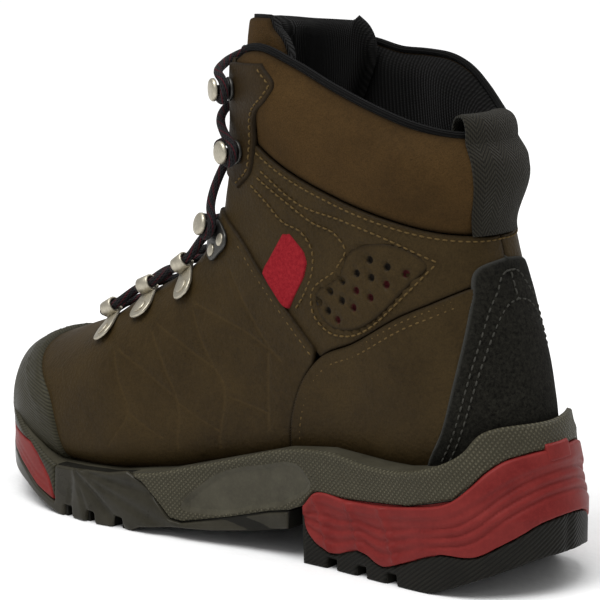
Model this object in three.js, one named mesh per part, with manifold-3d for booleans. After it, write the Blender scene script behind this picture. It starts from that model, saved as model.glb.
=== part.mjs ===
// Mid-height cross-country hiking boot, right foot, with a waterproof sock lining,
// two-part rubber outsole, heel wedge, hook and loop lacing and a padded collar.
// Millimetres. +X is the inner (medial) side of the foot, -Y the toe, +Z up,
// ground at z = 0.
import * as THREE from 'three';
import { mergeVertices } from 'three/addons/utils/BufferGeometryUtils.js';
import Module from 'manifold-3d';

const wasm = await Module();
wasm.setup();

// ---- driving dimensions ------------------------------------------------------
const SOLE_LENGTH = 302;        // heel to toe over the outsole
const BALL_WIDTH = 109;         // across the outsole at the ball of the foot
const COLLAR_HEIGHT = 211;      // ground to the highest point of the collar
const SOLE_HEIGHT = 66;         // ground to the top of the heel cup
const REFERENCE = { length: 302, width: 109, height: 211, sole: 66 };

const GAP = 0.3;                // clearance between neighbouring pieces
const LEATHER = 1.8;            // upper leather
const OVERLAY = 1.4;            // overlays, eyestays and counter
const RUBBER = 2.2;             // toe rand
const STIFFENER = 1.2;          // toe puff and heel stiffener
const LINING = 2.9;             // lining sock with its membrane
const COLLAR_SIDE = 3.5;        // outward swell of the padded collar at the sides
const COLLAR_REAR = 8.5;        // outward swell at the back
const COLLAR_INSIDE = 4;        // inward swell of the collar lining
const TONGUE_SKIN = 1.5;
const TONGUE_PAD = 5.5;
const TONGUE_TILT = 0.1;        // the tongue's top edge drops toward the outer side
const FOOTBED_FIT = 0.7;        // clearance of the loose footbed in the lining
const LACE_RADIUS = 1.9;
const WEBBING = 1.8;
const LOOP_WIDTH = 27;
const PIPING_RADIUS = 1.6;
const WALL = 5;                 // thickness of the rubber wing at the ball
const SEGMENTS = 20;            // facets around the upper

const LX = BALL_WIDTH / REFERENCE.width;
const LY = SOLE_LENGTH / REFERENCE.length;
const SOLE_RATIO = SOLE_HEIGHT / REFERENCE.sole;
const SHAFT_RATIO = (COLLAR_HEIGHT - SOLE_HEIGHT) / (REFERENCE.height - REFERENCE.sole);

// Heights below the cup top follow the sole, heights above it follow the shaft.
function lift(z) {
  const low = Math.min(z, REFERENCE.sole);
  return low * SOLE_RATIO + (z - low) * SHAFT_RATIO;
}

// ---- last: closed cross-sections that turn from the toe up to the shaft ----------
// front edge (y, z), back edge (y, z), half widths, centre offset, position of the
// widest point, and the roundness of the front and back arcs
const LAST = [
  { f: [-145, 48], b: [-146, 38], w: [7, 10], c: 2, m: 0.6, r: [2.1, 2.4] },
  { f: [-143, 55], b: [-145, 34], w: [11, 17], c: 2, m: 0.62, r: [2.1, 2.8] },
  { f: [-137, 61], b: [-139, 31], w: [18, 25], c: 2.5, m: 0.64, r: [2.1, 3.2] },
  { f: [-124, 67], b: [-127, 27], w: [30, 35], c: 3, m: 0.66, r: [2.1, 3.5] },
  { f: [-105, 74], b: [-108, 22.5], w: [40, 43.5], c: 2.5, m: 0.68, r: [2.2, 3.8] },
  { f: [-82, 83], b: [-84, 18.5], w: [46, 48], c: 1, m: 0.68, r: [2.4, 3.8] },
  { f: [-60, 96.5], b: [-58, 18], w: [48, 51], c: -0.5, m: 0.68, r: [2.6, 3.6] },
  { f: [-42, 106.5], b: [-30, 21], w: [45, 50], c: -1.5, m: 0.66, r: [2.8, 3.4] },
  { f: [-28, 117.5], b: [2, 26], w: [41, 46], c: -1.5, m: 0.62, r: [3, 3.2] },
  { f: [-19.5, 131.5], b: [40, 31], w: [37.5, 40.5], c: -1, m: 0.58, r: [3.1, 3] },
  { f: [-15, 146], b: [80, 34], w: [36, 38], c: -0.5, m: 0.55, r: [3.2, 2.8] },
  { f: [-13, 158], b: [118, 35], w: [35.5, 37], c: 0, m: 0.54, r: [3.3, 2.5] },
  { f: [-12, 166], b: [135.5, 48], w: [35.5, 36.5], c: 0, m: 0.53, r: [3.4, 2.3] },
  { f: [-11.5, 173], b: [135.5, 74], w: [35, 36], c: 0, m: 0.52, r: [3.5, 2.2] },
  { f: [-11, 181], b: [127.5, 103], w: [34.5, 35], c: 0, m: 0.52, r: [3.5, 2.2] },
  { f: [-11, 190], b: [117.5, 132], w: [34.5, 35], c: 0, m: 0.52, r: [3.5, 2.2] },
  { f: [-10.5, 200], b: [111.5, 160], w: [34.5, 35], c: 0, m: 0.52, r: [3.5, 2.2] },
  { f: [-9.5, 211], b: [108, 184], w: [34.5, 35], c: 0, m: 0.52, r: [3.4, 2.2] },
  { f: [-8, 228], b: [108, 212], w: [35, 35.5], c: 0, m: 0.52, r: [3.2, 2.2] },
];
const TOP = LAST.length - 1;
const STATIONS = LAST.map((s) => [
  s.f[0] * LY, lift(s.f[1]), s.b[0] * LY, lift(s.b[1]),
  s.w[0] * LX, s.w[1] * LX, s.c * LX, s.m, s.r[0], s.r[1]]);

// Catmull-Rom blend of the stations at position t along the last.
function section(t) {
  const s = Math.min(Math.max(t, 0), TOP);
  const i = Math.min(Math.floor(s), TOP - 1);
  const f = s - i;
  const at = (k) => STATIONS[Math.min(Math.max(i + k, 0), TOP)];
  const [p, q, r, n] = [at(-1), at(0), at(1), at(2)];
  return q.map((v, k) => 0.5 * (2 * v + (r[k] - p[k]) * f
    + (2 * p[k] - 5 * v + 4 * r[k] - n[k]) * f * f
    + (3 * v - p[k] - 3 * r[k] + n[k]) * f * f * f));
}

// Point of the outer leather surface at station t and angle a: 0 is the front or
// top edge, half a turn the back or bottom edge, and the first half the inner side.
function lastPoint(t, a) {
  const [fy, fz, by, bz, wm, wl, c, m, rf, rb] = section(t);
  const u = (1 - Math.cos(a)) / 2;
  const q = u < m ? (m - u) / m : (u - m) / (1 - m);
  const n = u < m ? rf : rb;
  const h = Math.pow(Math.max(1 - Math.pow(q, n), 0), 1 / n);
  const x = Math.sin(a) >= 0 ? c + wm * h : c - wl * h;
  return new THREE.Vector3(x, fy + (by - fy) * u, fz + (bz - fz) * u);
}

function lastNormal(t, a) {
  const e = 0.001;
  const t1 = Math.min(t + e, TOP);
  const t0 = Math.max(t - e, 0);
  const along = lastPoint(t1, a).sub(lastPoint(t0, a));
  const around = lastPoint(t, a + e).sub(lastPoint(t, a - e));
  return around.cross(along).normalize();
}

// ---- pattern lines in the side view (y, z) ----------------------------------------
const COLLAR_TOP = [[-40, 193], [-2, 202], [8, 206], [19, 207.5], [37, 203], [58, 195],
  [80, 187], [94, 182], [106, 178.5], [140, 177]];
const COLLAR_TOP_OUTER = [[-40, 193], [-2, 201], [8, 204.5], [19, 205], [37, 202], [51, 202],
  [64, 201], [74, 197.5], [84, 191], [94, 184], [106, 178.5], [140, 177]];
const COLLAR_SEAM = [[-40, 200], [0, 178], [18, 167], [33, 160], [58, 152], [82, 146],
  [101, 142], [140, 138]];
const QUARTER_SEAM = [[150, 131], [115, 120], [104, 114], [92, 108], [69, 94], [52, 86],
  [44, 77], [39, 66], [34, 45], [30, 10]];
const VAMP_EDGE = [[-40, 141], [-5, 136], [3, 132], [20, 117], [36, 102], [52, 87]];
const RAND_EDGE = [[-128, 90], [-116, 66], [-93, 48], [-86, 31], [-82, 8]];
const COUNTER_EDGE = [[150, 131], [119, 131], [115.5, 128], [116, 116], [116, 101],
  [114, 83], [110, 64], [101, 47], [92, 20]];
const FEATHER_LINE = [[-170, 42], [-135, 40], [-118, 36.5], [-105, 31], [-92, 25], [-84, 22],
  [-52, 23.5], [-25, 28], [-8, 33], [12, 39], [37, 46.5], [58, 49], [82, 47], [95, 47],
  [110, 49.4], [119, 52], [131, 58], [138, 65.5], [170, 66]];
const FRAME_BASE = [[-26, 15], [-20, 8.7], [-14, 8], [9, 13.4], [29, 19], [39, 21],
  [46, 24], [53, 31], [70, 31], [102, 34], [125, 40], [132, 45.6], [138, 51.5],
  [143, 55.4], [149, 57.5], [170, 58]];
const WEDGE_BASE = [[46.5, 24], [49, 14], [53, 10], [63, 7], [77, 11], [90, 6.7], [98, 9.4],
  [117, 16.6], [133, 18], [138, 21.4], [144, 26], [148, 30], [151, 32], [170, 33]];

function heightOn(line, y) {
  const last = line.length - 1;
  for (let i = 0; i < last; i += 1) {
    const [y0, z0] = line[i];
    const [y1, z1] = line[i + 1];
    if (y <= y1 || i === last - 1) {
      const f = Math.min(Math.max((y - y0) / (y1 - y0), 0), 1);
      return z0 + (z1 - z0) * f;
    }
  }
  return line[last][1];
}

// Share of the collar padding at a point: none below the collar seam, a full pad
// above it and a rounded rim at the top.
function padShare(p) {
  const y = p.y / LY;
  const low = lift(heightOn(COLLAR_SEAM, y));
  const high = lift(heightOn(p.x > 0 ? COLLAR_TOP : COLLAR_TOP_OUTER, y));
  const w = (p.z - low) / (high - low);
  const rise = THREE.MathUtils.smoothstep(w, 0, 0.6);
  const fall = 1 - 0.45 * THREE.MathUtils.smoothstep(w, 0.7, 1);
  return rise * fall;
}

function outwardPad(p) {
  const rear = THREE.MathUtils.smoothstep(p.y / LY, 60, 108);
  const front = THREE.MathUtils.smoothstep(p.y / LY, 2, 26);
  return padShare(p) * front * (COLLAR_SIDE + (COLLAR_REAR - COLLAR_SIDE) * rear);
}

const plain = () => 0;
const inwardPad = (p) => -COLLAR_INSIDE * padShare(p)
  * THREE.MathUtils.smoothstep(p.y / LY, 46, 70);

// ---- solids -------------------------------------------------------------------------
function toManifold(geometry) {
  const bare = geometry.clone();
  bare.deleteAttribute('normal');
  bare.deleteAttribute('uv');
  const merged = mergeVertices(bare, 1e-4);
  return new wasm.Manifold(new wasm.Mesh({
    numProp: 3,
    vertProperties: new Float32Array(merged.attributes.position.array),
    triVerts: new Uint32Array(merged.index.array),
  }));
}

function toGeometry(solid) {
  const mesh = solid.getMesh();
  const geometry = new THREE.BufferGeometry();
  const step = mesh.numProp;
  const count = mesh.vertProperties.length / step;
  const position = new Float32Array(count * 3);
  for (let i = 0; i < count; i += 1) {
    for (let k = 0; k < 3; k += 1) position[3 * i + k] = mesh.vertProperties[step * i + k];
  }
  geometry.setAttribute('position', new THREE.BufferAttribute(position, 3));
  geometry.setIndex(Array.from(mesh.triVerts));
  return geometry;
}

// Closed solid from rings of points, with a fan at each end.
function ringSolid(rings, startPole, endPole) {
  const points = [];
  const index = [];
  const n = rings[0].length;
  rings.forEach((ring) => ring.forEach((p) => points.push(p.x, p.y, p.z)));
  for (let i = 0; i + 1 < rings.length; i += 1) {
    for (let j = 0; j < n; j += 1) {
      const k = (j + 1) % n;
      const [a, b] = [i * n + j, i * n + k];
      const [c, d] = [(i + 1) * n + j, (i + 1) * n + k];
      index.push(a, b, d, a, d, c);
    }
  }
  const start = points.length / 3;
  points.push(startPole.x, startPole.y, startPole.z, endPole.x, endPole.y, endPole.z);
  const top = (rings.length - 1) * n;
  for (let j = 0; j < n; j += 1) {
    const k = (j + 1) % n;
    index.push(start, k, j, start + 1, top + j, top + k);
  }
  const geometry = new THREE.BufferGeometry();
  geometry.setAttribute('position', new THREE.Float32BufferAttribute(points, 3));
  geometry.setIndex(index);
  const solid = toManifold(geometry);
  if (solid.volume() > 0) return solid;
  for (let i = 0; i < index.length; i += 3) {
    [index[i + 1], index[i + 2]] = [index[i + 2], index[i + 1]];
  }
  geometry.setIndex(index);
  return toManifold(geometry);
}

const RINGS = [0, 0.7, 1.6, 3, 4, 5, 6, 7, 8, 9, 10, 11, 11.6, 12.3, 13.2, 14.5, 16, 17, 18];

// The last grown or shrunk by d along its normals, plus the collar padding.
function lastSolid(d, pad) {
  const rings = RINGS.map((t) => {
    const ring = [];
    for (let j = 0; j < SEGMENTS; j += 1) {
      const a = (2 * Math.PI * j) / SEGMENTS;
      const p = lastPoint(t, a);
      const reach = d + pad(p);
      ring.push(lastNormal(t, a).multiplyScalar(reach).add(p));
    }
    return ring;
  });
  const middle = (ring) => ring.reduce((s, p) => s.add(p), new THREE.Vector3())
    .divideScalar(ring.length);
  const toe = middle(rings[0]);
  toe.y = Math.min(toe.y, -148.5 * LY - d);
  return ringSolid(rings, toe, middle(rings[rings.length - 1]));
}

function shell(inner, outer, pad) {
  return lastSolid(outer, pad).subtract(lastSolid(inner, pad));
}

// Prism of a side-view outline, across the boot from x0 to x1.
const SIDE_TO_WORLD = new THREE.Matrix4().makeBasis(
  new THREE.Vector3(0, 1, 0), new THREE.Vector3(0, 0, 1), new THREE.Vector3(1, 0, 0));

function side(points, x0 = -150, x1 = 150) {
  const shape = new THREE.Shape(points.map(([y, z]) => new THREE.Vector2(y * LY, lift(z))));
  const geometry = new THREE.ExtrudeGeometry(shape, { depth: x1 - x0, bevelEnabled: false });
  geometry.applyMatrix4(SIDE_TO_WORLD);
  geometry.translate(x0, 0, 0);
  return toManifold(geometry);
}

// A line moved sideways by d, to the left of its direction.
function shifted(line, d) {
  return line.map(([y, z], i) => {
    const [y0, z0] = line[Math.max(i - 1, 0)];
    const [y1, z1] = line[Math.min(i + 1, line.length - 1)];
    const size = Math.hypot(y1 - y0, z1 - z0);
    return [y - (d * (z1 - z0)) / size, z + (d * (y1 - y0)) / size];
  });
}

// A closed outline moved outward by d along its corner bisectors.
function grown(points, d) {
  const turn = THREE.ShapeUtils.isClockWise(points.map(([y, z]) => new THREE.Vector2(y, z)));
  const out = turn ? -d : d;
  return points.map(([y, z], i) => {
    const [y0, z0] = points[(i + points.length - 1) % points.length];
    const [y1, z1] = points[(i + 1) % points.length];
    const before = new THREE.Vector2(y - y0, z - z0).normalize();
    const after = new THREE.Vector2(y1 - y, z1 - z).normalize();
    const across = before.clone().add(after).normalize();
    const miter = Math.min(1 / Math.max(across.dot(after), 0.35), 3);
    return [y + across.y * out * miter, z - across.x * out * miter];
  });
}

function box(x0, x1, y0, y1, z0, z1) {
  const geometry = new THREE.BoxGeometry(x1 - x0, y1 - y0, z1 - z0);
  geometry.translate((x0 + x1) / 2, (y0 + y1) / 2, (z0 + z1) / 2);
  return toManifold(geometry);
}

// ---- plan outline of the sole ----------------------------------------------------------
const INNER_EDGE = [[0, -151], [9, -148], [19.5, -140], [30, -130], [40, -118], [46.5, -105],
  [50.5, -90], [52, -70], [49, -30], [44, 0], [40, 30], [38.5, 60], [39.5, 90], [39, 115],
  [35, 130], [23, 143]];
const OUTER_EDGE = [[0, 151], [-23, 143], [-35, 130], [-39.5, 115], [-41, 90], [-44, 60],
  [-49, 30], [-54, 0], [-57, -35], [-54, -70], [-46, -100], [-33, -125], [-15, -143]];
const PLAN = [...INNER_EDGE, ...OUTER_EDGE].map(([x, y]) => [x * LX, y * LY]);

function planGeometry(inset, z0, z1) {
  const ring = PLAN.map(([x, y], i) => {
    const [x0, y0] = PLAN[(i + PLAN.length - 1) % PLAN.length];
    const [x1, y1] = PLAN[(i + 1) % PLAN.length];
    const size = Math.hypot(x1 - x0, y1 - y0);
    return new THREE.Vector2(x - (inset * (y1 - y0)) / size, y + (inset * (x1 - x0)) / size);
  });
  const geometry = new THREE.ExtrudeGeometry(new THREE.Shape(ring),
    { depth: z1 - z0, bevelEnabled: false });
  geometry.translate(0, 0, z0);
  return geometry;
}

const plan = (inset, z0, z1) => toManifold(planGeometry(inset, z0, z1));

// ---- upper ---------------------------------------------------------------------------------
// Throat: a swept slot along the front edge, from the toe end of the lacing upward.
const THROAT = [[4.75, 3], [5, 9], [5.4, 13], [6, 15], [7, 17], [8, 18], [9, 19], [10, 19],
  [12, 19], [14, 19], [16, 19], [18, 19]];

function angleAt(t, s) {
  const [, , , , wm, wl, , m, rf] = section(t);
  const h = Math.min(Math.abs(s) / (s < 0 ? wl : wm), 1);
  const u = m * (1 - Math.pow(1 - Math.pow(h, rf), 1 / rf));
  const a = Math.acos(1 - 2 * u);
  return s < 0 ? -a : a;
}

function onFront(t, s, d) {
  const a = angleAt(t, s);
  return lastNormal(t, a).multiplyScalar(d).add(lastPoint(t, a));
}

function throatCut(widen) {
  const rings = THROAT.map(([t, half], i) => {
    const w = half * LX + widen;
    const s = i === 0 ? t - widen / 25 : t;
    const up = lastNormal(s, 0);
    const mid = lastPoint(s, 0);
    const corner = (x, d) => up.clone().multiplyScalar(d).add(mid).setX(mid.x + x);
    return [corner(w, 25), corner(w, -14), corner(-w, -14), corner(-w, 25)];
  });
  const centre = (r) => r.reduce((s, p) => s.add(p), new THREE.Vector3()).divideScalar(4);
  return ringSolid(rings, centre(rings[0]), centre(rings[rings.length - 1]));
}

const throat = throatCut(0);
const above = (line, d, x0, x1) => side([...shifted(line, d), [line[line.length - 1][0], 260],
  [line[0][0], 260]], x0, x1);
const overRim = (d) => above(COLLAR_TOP, d, 0, 150).add(above(COLLAR_TOP_OUTER, d, -150, 0));
const below = (line, d) => side([...shifted(line, d), [line[line.length - 1][0], -30],
  [line[0][0], -30]]);

const overCollar = overRim(0);
const leather = shell(-LEATHER, 0, outwardPad).subtract(throat).subtract(overCollar);
const INSOLE = [[2, -132], [17, -124], [28, -108], [34, -88], [35, -65], [31, -35], [27, 0],
  [24, 30], [23, 60], [24, 90], [21, 112], [11, 128], [-11, 128], [-23, 110], [-26, 90],
  [-28, 60], [-32, 30], [-37, 0], [-40, -35], [-38, -70], [-31, -95], [-20, -115], [-8, -127]];
function column(points, z1) {
  const shape = new THREE.Shape(points.map(([x, y]) => new THREE.Vector2(x * LX, y * LY)));
  const geometry = new THREE.ExtrudeGeometry(shape, { depth: z1 + 20, bevelEnabled: false });
  geometry.translate(0, 0, -20);
  return toManifold(geometry);
}
const insoleWindow = (d) => column(grown(INSOLE, d), lift(44 + d));
const insoleBoard = shell(-LEATHER, 0, plain).intersect(insoleWindow(0));
const upperSkin = leather.subtract(insoleWindow(GAP + 0.2));

const collarZone = (d) => above(COLLAR_SEAM, -d);
const vampZone = (d) => side(grown([...VAMP_EDGE, ...QUARTER_SEAM.slice(6), [-200, 10],
  [-200, 170], [-40, 170]], d));
const heelZone = (d) => side(grown([...QUARTER_SEAM, [180, 10], [180, 131]], d));

// Corner in front of the collar, which the eyestay facing fills.
const frontCorner = (d) => side([[-60, 120], [-60, 260], [-4 + d, 260], [-4 + d, 203],
  [10 + d, 180], [12 + d, 168], [-10, 120]]);

const collarShell = upperSkin.intersect(collarZone(0)).subtract(frontCorner(GAP));
const vamp = upperSkin.intersect(vampZone(0)).subtract(collarZone(GAP));
const heelPanel = upperSkin.intersect(heelZone(0)).subtract(vampZone(GAP));
const innerHalf = box(GAP / 2, 200, -300, 300, -50, 300);
const outerHalf = box(-200, -GAP / 2, -300, 300, -50, 300);
const middlePart = upperSkin.subtract(vampZone(GAP)).subtract(heelZone(GAP))
  .subtract(collarZone(GAP));
const frontPart = upperSkin.intersect(collarZone(0)).intersect(frontCorner(0));

const puffZone = (d) => below([[-170, 34 - d], [-60, 34 - d]], 0);
const PUFF_EDGE = [[-112, 110], [-104, 60], [-98, 36], [-96, 5]];
const puffPrism = (d) => side([...shifted(PUFF_EDGE, d), [-200, 5], [-200, 110]]);
const HEEL_EDGE = [[96, 20], [94, 60], [100, 95], [110, 112], [150, 118]];
const heelPrism = (d) => side([...shifted(HEEL_EDGE, d), [200, 118 + d], [200, 20]]);
const stiffLayer = shell(-LEATHER - GAP - STIFFENER, -LEATHER - GAP, outwardPad);
const stiffRoom = shell(-LEATHER - 2 * GAP - STIFFENER, -LEATHER, outwardPad);
const overBoard = (d) => column(grown(INSOLE, 5 + d), lift(47 + d));
const toePuff = stiffLayer.intersect(puffPrism(0)).subtract(overBoard(0)).subtract(throat);
const heelStiffener = stiffLayer.intersect(heelPrism(0)).subtract(overBoard(0));
const stiffRecess = stiffRoom.intersect(puffPrism(GAP).add(heelPrism(GAP)))
  .subtract(overBoard(-GAP));

const LINING_FACE = -LEATHER - GAP;
const LINING_INSIDE = LINING_FACE - LINING;
const liningRaw = lastSolid(LINING_FACE, inwardPad).subtract(lastSolid(LINING_INSIDE, inwardPad))
  .subtract(overCollar).subtract(stiffRecess);
const lining = liningRaw.subtract(throatCut(-1));

const collarFoam = lastSolid(LINING_FACE, outwardPad).subtract(lastSolid(-LEATHER, inwardPad))
  .intersect(above(COLLAR_SEAM, 3)).subtract(overRim(-1.2))
  .subtract(side([[-60, 120], [-60, 260], [26, 260], [26, 120]]));

// ---- overlays ----------------------------------------------------------------------------------
const soleBand = (d) => plan(-20, -20, lift(90)).intersect(below(FEATHER_LINE, d));
const overlayLayer = shell(GAP, GAP + OVERLAY, outwardPad).subtract(throat)
  .subtract(overCollar).subtract(soleBand(GAP));
const rubberLayer = shell(GAP, GAP + RUBBER, plain).subtract(soleBand(GAP));
const toeRand = rubberLayer.intersect(side([...RAND_EDGE, [-200, 0], [-200, 120], [-128, 120]]))
  .subtract(throat);
const heelCounter = overlayLayer.intersect(side([...COUNTER_EDGE, [200, 20], [200, 131]]));
const EYESTAY = [[-30, 147], [4, 147], [15, 156], [16, 168], [18, 180], [25, 189], [26, 196],
  [19, 203], [6, 204], [-30, 199]];
const eyestay = overlayLayer.intersect(side(EYESTAY));
const ACCENT = [[32, 134], [38, 133], [44, 127], [45, 122], [41, 113], [35, 104.5], [31, 107],
  [21, 116.5], [27, 124]];
const accent = overlayLayer.intersect(side(ACCENT));
const PATCH = [[101, 129], [95, 121], [66, 99], [60, 99], [51, 106], [50, 111], [62, 121],
  [66, 130], [82, 136], [96, 133]];
const ventPatch = overlayLayer.intersect(side(PATCH));

const PULL_LOW = 139;
const strap = box(-LOOP_WIDTH / 2, LOOP_WIDTH / 2, 60 * LY, 200, lift(PULL_LOW), 400);
const rimGap = 3 * GAP + 2 * PIPING_RADIUS + 1;
const loopOutside = shell(GAP, GAP + WEBBING, outwardPad).intersect(strap)
  .subtract(overRim(rimGap + WEBBING));
const INNER_FACE = LINING_INSIDE - GAP;
const loopInside = lastSolid(INNER_FACE, inwardPad)
  .subtract(lastSolid(INNER_FACE - WEBBING, inwardPad))
  .intersect(strap).subtract(overRim(rimGap + WEBBING))
  .subtract(below(COLLAR_TOP, -14));
const loopBridge = lastSolid(GAP + WEBBING, outwardPad)
  .subtract(lastSolid(INNER_FACE - WEBBING, inwardPad)).intersect(strap)
  .intersect(overRim(rimGap)).subtract(overRim(rimGap + WEBBING));
const pullLoop = loopOutside.add(loopBridge).add(loopInside);

// ---- tongue ---------------------------------------------------------------------------------------
const TONGUE_FACE = LINING_INSIDE - GAP;
const TONGUE_LOWER = [[-80, 74], [-60, 84.5], [-42, 93], [-28, 102], [-14, 113], [-2, 127],
  [3, 140], [8, 158], [16, 172], [23, 186], [28, 199]];
const tongueLid = new THREE.BoxGeometry(200, 400, 60);
tongueLid.rotateY(-TONGUE_TILT);
tongueLid.translate(-30 * Math.sin(TONGUE_TILT), 0, lift(218) + 30);
const overTongue = toManifold(tongueLid);
const tongueZone = (d) => side([...shifted(TONGUE_LOWER, d), [30, 204], [26, 213], [18, 221],
  [10, 222], [0, 218], [-40, 212], [-80, 150]]).subtract(overTongue);
const tongueOuter = shell(TONGUE_FACE - TONGUE_SKIN, TONGUE_FACE, plain)
  .intersect(tongueZone(0));
const PAD_FACE = TONGUE_FACE - TONGUE_SKIN - GAP;
const tonguePad = shell(PAD_FACE - TONGUE_PAD, PAD_FACE, plain).intersect(tongueZone(-0.6))
  .intersect(side([[-72, 40], [60, 40], [60, 260], [-72, 260]]));
const gussetStrip = shell(TONGUE_FACE - TONGUE_SKIN, TONGUE_FACE, plain)
  .intersect(side([...shifted(TONGUE_LOWER, -GAP).slice(1, 9),
    ...shifted(TONGUE_LOWER, -9).slice(1, 9).reverse()]));

// ---- sole --------------------------------------------------------------------------------------------
const footRoom = lastSolid(GAP, plain);
// The back of the sole leans forward above the heel tread.
const REAR_LEAN = 0.27;
const LEAN_FROM = lift(32);
const leaning = new THREE.Matrix4().makeShear(0, 0, 0, 0, 0, -REAR_LEAN)
  .setPosition(0, REAR_LEAN * LEAN_FROM, 0);
const rearKeep = toManifold(planGeometry(0, LEAN_FROM, lift(90)).applyMatrix4(leaning));
const rearCut = box(-80, 80, 60 * LY, 200, LEAN_FROM, lift(90)).subtract(rearKeep);
const solePlan = plan(0, -20, lift(90)).subtract(footRoom).subtract(rearCut);
const CORE = [[-130, 22], [-112, 17], [-90, 10], [-60, 8.5], [-20, 10], [-8, 20], [-8, 60],
  [-130, 60]];
const coreZone = (d) => plan(WALL + GAP - d, -20, lift(90)).intersect(side(grown(CORE, d)));
const frameZone = (d) => side([...shifted(FRAME_BASE, -d), ...[...FEATHER_LINE].reverse()
  .filter(([y]) => y > -40), [-40 - d, 26]]);
const SHANK = [[-54, 16.2], [-30, 18.8], [2, 23.8], [40, 28.8]];
const SHANK_THICKNESS = 1.6;
const shankSolid = (d) => {
  const half = SHANK_THICKNESS / 2 + d;
  const top = d > 0 ? 8 : half;
  return side([...shifted(SHANK, -half), ...shifted(SHANK, top).reverse()], -9 - d, 9 + d);
};
const bandTop = above(FEATHER_LINE, 0);
const frameSolid = solePlan.intersect(frameZone(0)).add(solePlan.intersect(coreZone(0)))
  .subtract(bandTop);
const TOE_INSERT = [[-200, 26], [-135, 22], [-118, 19.5], [-107, 15], [-97, 9.5], [-84, 5.5],
  [-88, 15], [-96, 24], [-103, 28.5], [-118, 30], [-200, 33]];
const insertZone = (d) => side(grown(TOE_INSERT, d));
const toeInsert = solePlan.intersect(insertZone(0)).subtract(coreZone(GAP));
const TOE_BAND = [[-200, 28], [-110, 25], [-94, 19], [-86, 12], [-83, 17], [-83, 60], [-200, 60]];
const toeBand = (d) => side(grown(TOE_BAND, d)).subtract(insertZone(GAP - d));
const toeFrame = solePlan.intersect(toeBand(0)).subtract(bandTop);

const TREAD = [[-82, 0], [-40, 0], [-36, 2], [-20, 4.5], [0, 6], [20, 9], [39, 13], [39.5, 20.6],
  [29, 18.7], [9, 13.1], [-14, 7.7], [-20, 8.4], [-26, 14.7], [-34, 23], [-44, 27], [-84, 24],
  [-110, 30], [-200, 33], [-200, 20], [-151, 19], [-140, 16], [-120, 12], [-106, 8.5], [-95, 4]];
const frontTread = solePlan.intersect(side(TREAD)).subtract(bandTop)
  .subtract(coreZone(GAP)).subtract(frameZone(GAP)).subtract(insertZone(GAP))
  .subtract(toeBand(GAP));
const HEEL_TREAD = [[47, 0], [113, 0], [121, 3], [135, 9], [147.3, 15.5], [170, 20], [170, 32.6],
  ...shifted(WEDGE_BASE, -GAP).reverse().slice(1)];
const heelTread = solePlan.intersect(side(HEEL_TREAD));
const wedge = solePlan.intersect(side([...WEDGE_BASE,
  ...shifted(FRAME_BASE, -GAP).filter(([y]) => y > 46.5).reverse()]));

// Tread blocks: slots cut in from both sides between the lugs.
function slot(y, width, depth, skew, s) {
  const geometry = new THREE.BoxGeometry(34, width, 2 * depth);
  geometry.rotateZ(skew * s);
  geometry.translate(s * 40 * LX, y * LY, 0);
  return toManifold(geometry);
}
const cutSlots = (solid, list, depth) => list.reduce((rest, [y, skew]) =>
  rest.subtract(slot(y, 5, depth, skew, 1)).subtract(slot(y, 5, depth, skew, -1)), solid);
const frontSlots = [[-76, 0.15], [-62, 0.1], [-47, -0.1]];
const heelSlots = [[62, 0.1], [78, 0], [94, -0.12]];
const frontLugs = cutSlots(frontTread, frontSlots, 4.5).subtract(box(-2.5, 2.5, -200, 0, -5, 3.5));
const heelLugs = cutSlots(heelTread, heelSlots, 4.5).subtract(box(-2.5, 2.5, 0, 200, -5, 3.5));

// ---- footbed ----------------------------------------------------------------------------------------
const FOOTBED_TOP = [[-122, 39], [-108, 34], [-84, 29.5], [-58, 29], [-30, 32], [2, 37], [40, 42],
  [80, 44.5], [112, 45.5], [124, 48]];
const footbed = lastSolid(LINING_INSIDE - FOOTBED_FIT, plain)
  .intersect(side([...FOOTBED_TOP, [124, 0], [-122, 0]]))
  .intersect(side([[-120, 0], [122, 0], [122, 80], [-120, 80]]));

// ---- lacing hardware ---------------------------------------------------------------------------------
// Frame on the leather at station t, s from the centre line: x toward the throat, z off
// the leather, y along the throat, which is up the boot on the outer side and down on the
// inner side.
function seatFrame(t, s, height, lean = 0) {
  const sign = Math.sign(s);
  const p = onFront(t, s, height);
  const z = lastNormal(t, angleAt(t, s));
  const x = onFront(t, s - sign, 0).sub(onFront(t, s + sign, 0)).normalize();
  const y = z.clone().cross(x).normalize();
  const turn = new THREE.Matrix4().makeRotationZ(lean * sign);
  return new THREE.Matrix4().makeBasis(y.clone().cross(z), y, z).setPosition(p).multiply(turn);
}

function disc(radius, z0, z1, x, y) {
  const geometry = new THREE.CylinderGeometry(radius, radius, z1 - z0, radius > 4 ? 12 : 8);
  geometry.rotateX(Math.PI / 2);
  geometry.translate(x, y, (z0 + z1) / 2);
  return toManifold(geometry);
}

function plate(points, z0, z1) {
  const shape = new THREE.Shape(points.map(([x, y]) => new THREE.Vector2(x, y)));
  const geometry = new THREE.ExtrudeGeometry(shape, { depth: z1 - z0, bevelEnabled: false });
  geometry.translate(0, 0, z0);
  return toManifold(geometry);
}

const PLATE = 1.2;
const TUNNEL_OUT = 3.6;
const TUNNEL_IN = 2.4;
const TUNNEL_WIDTH = 7;

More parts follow.
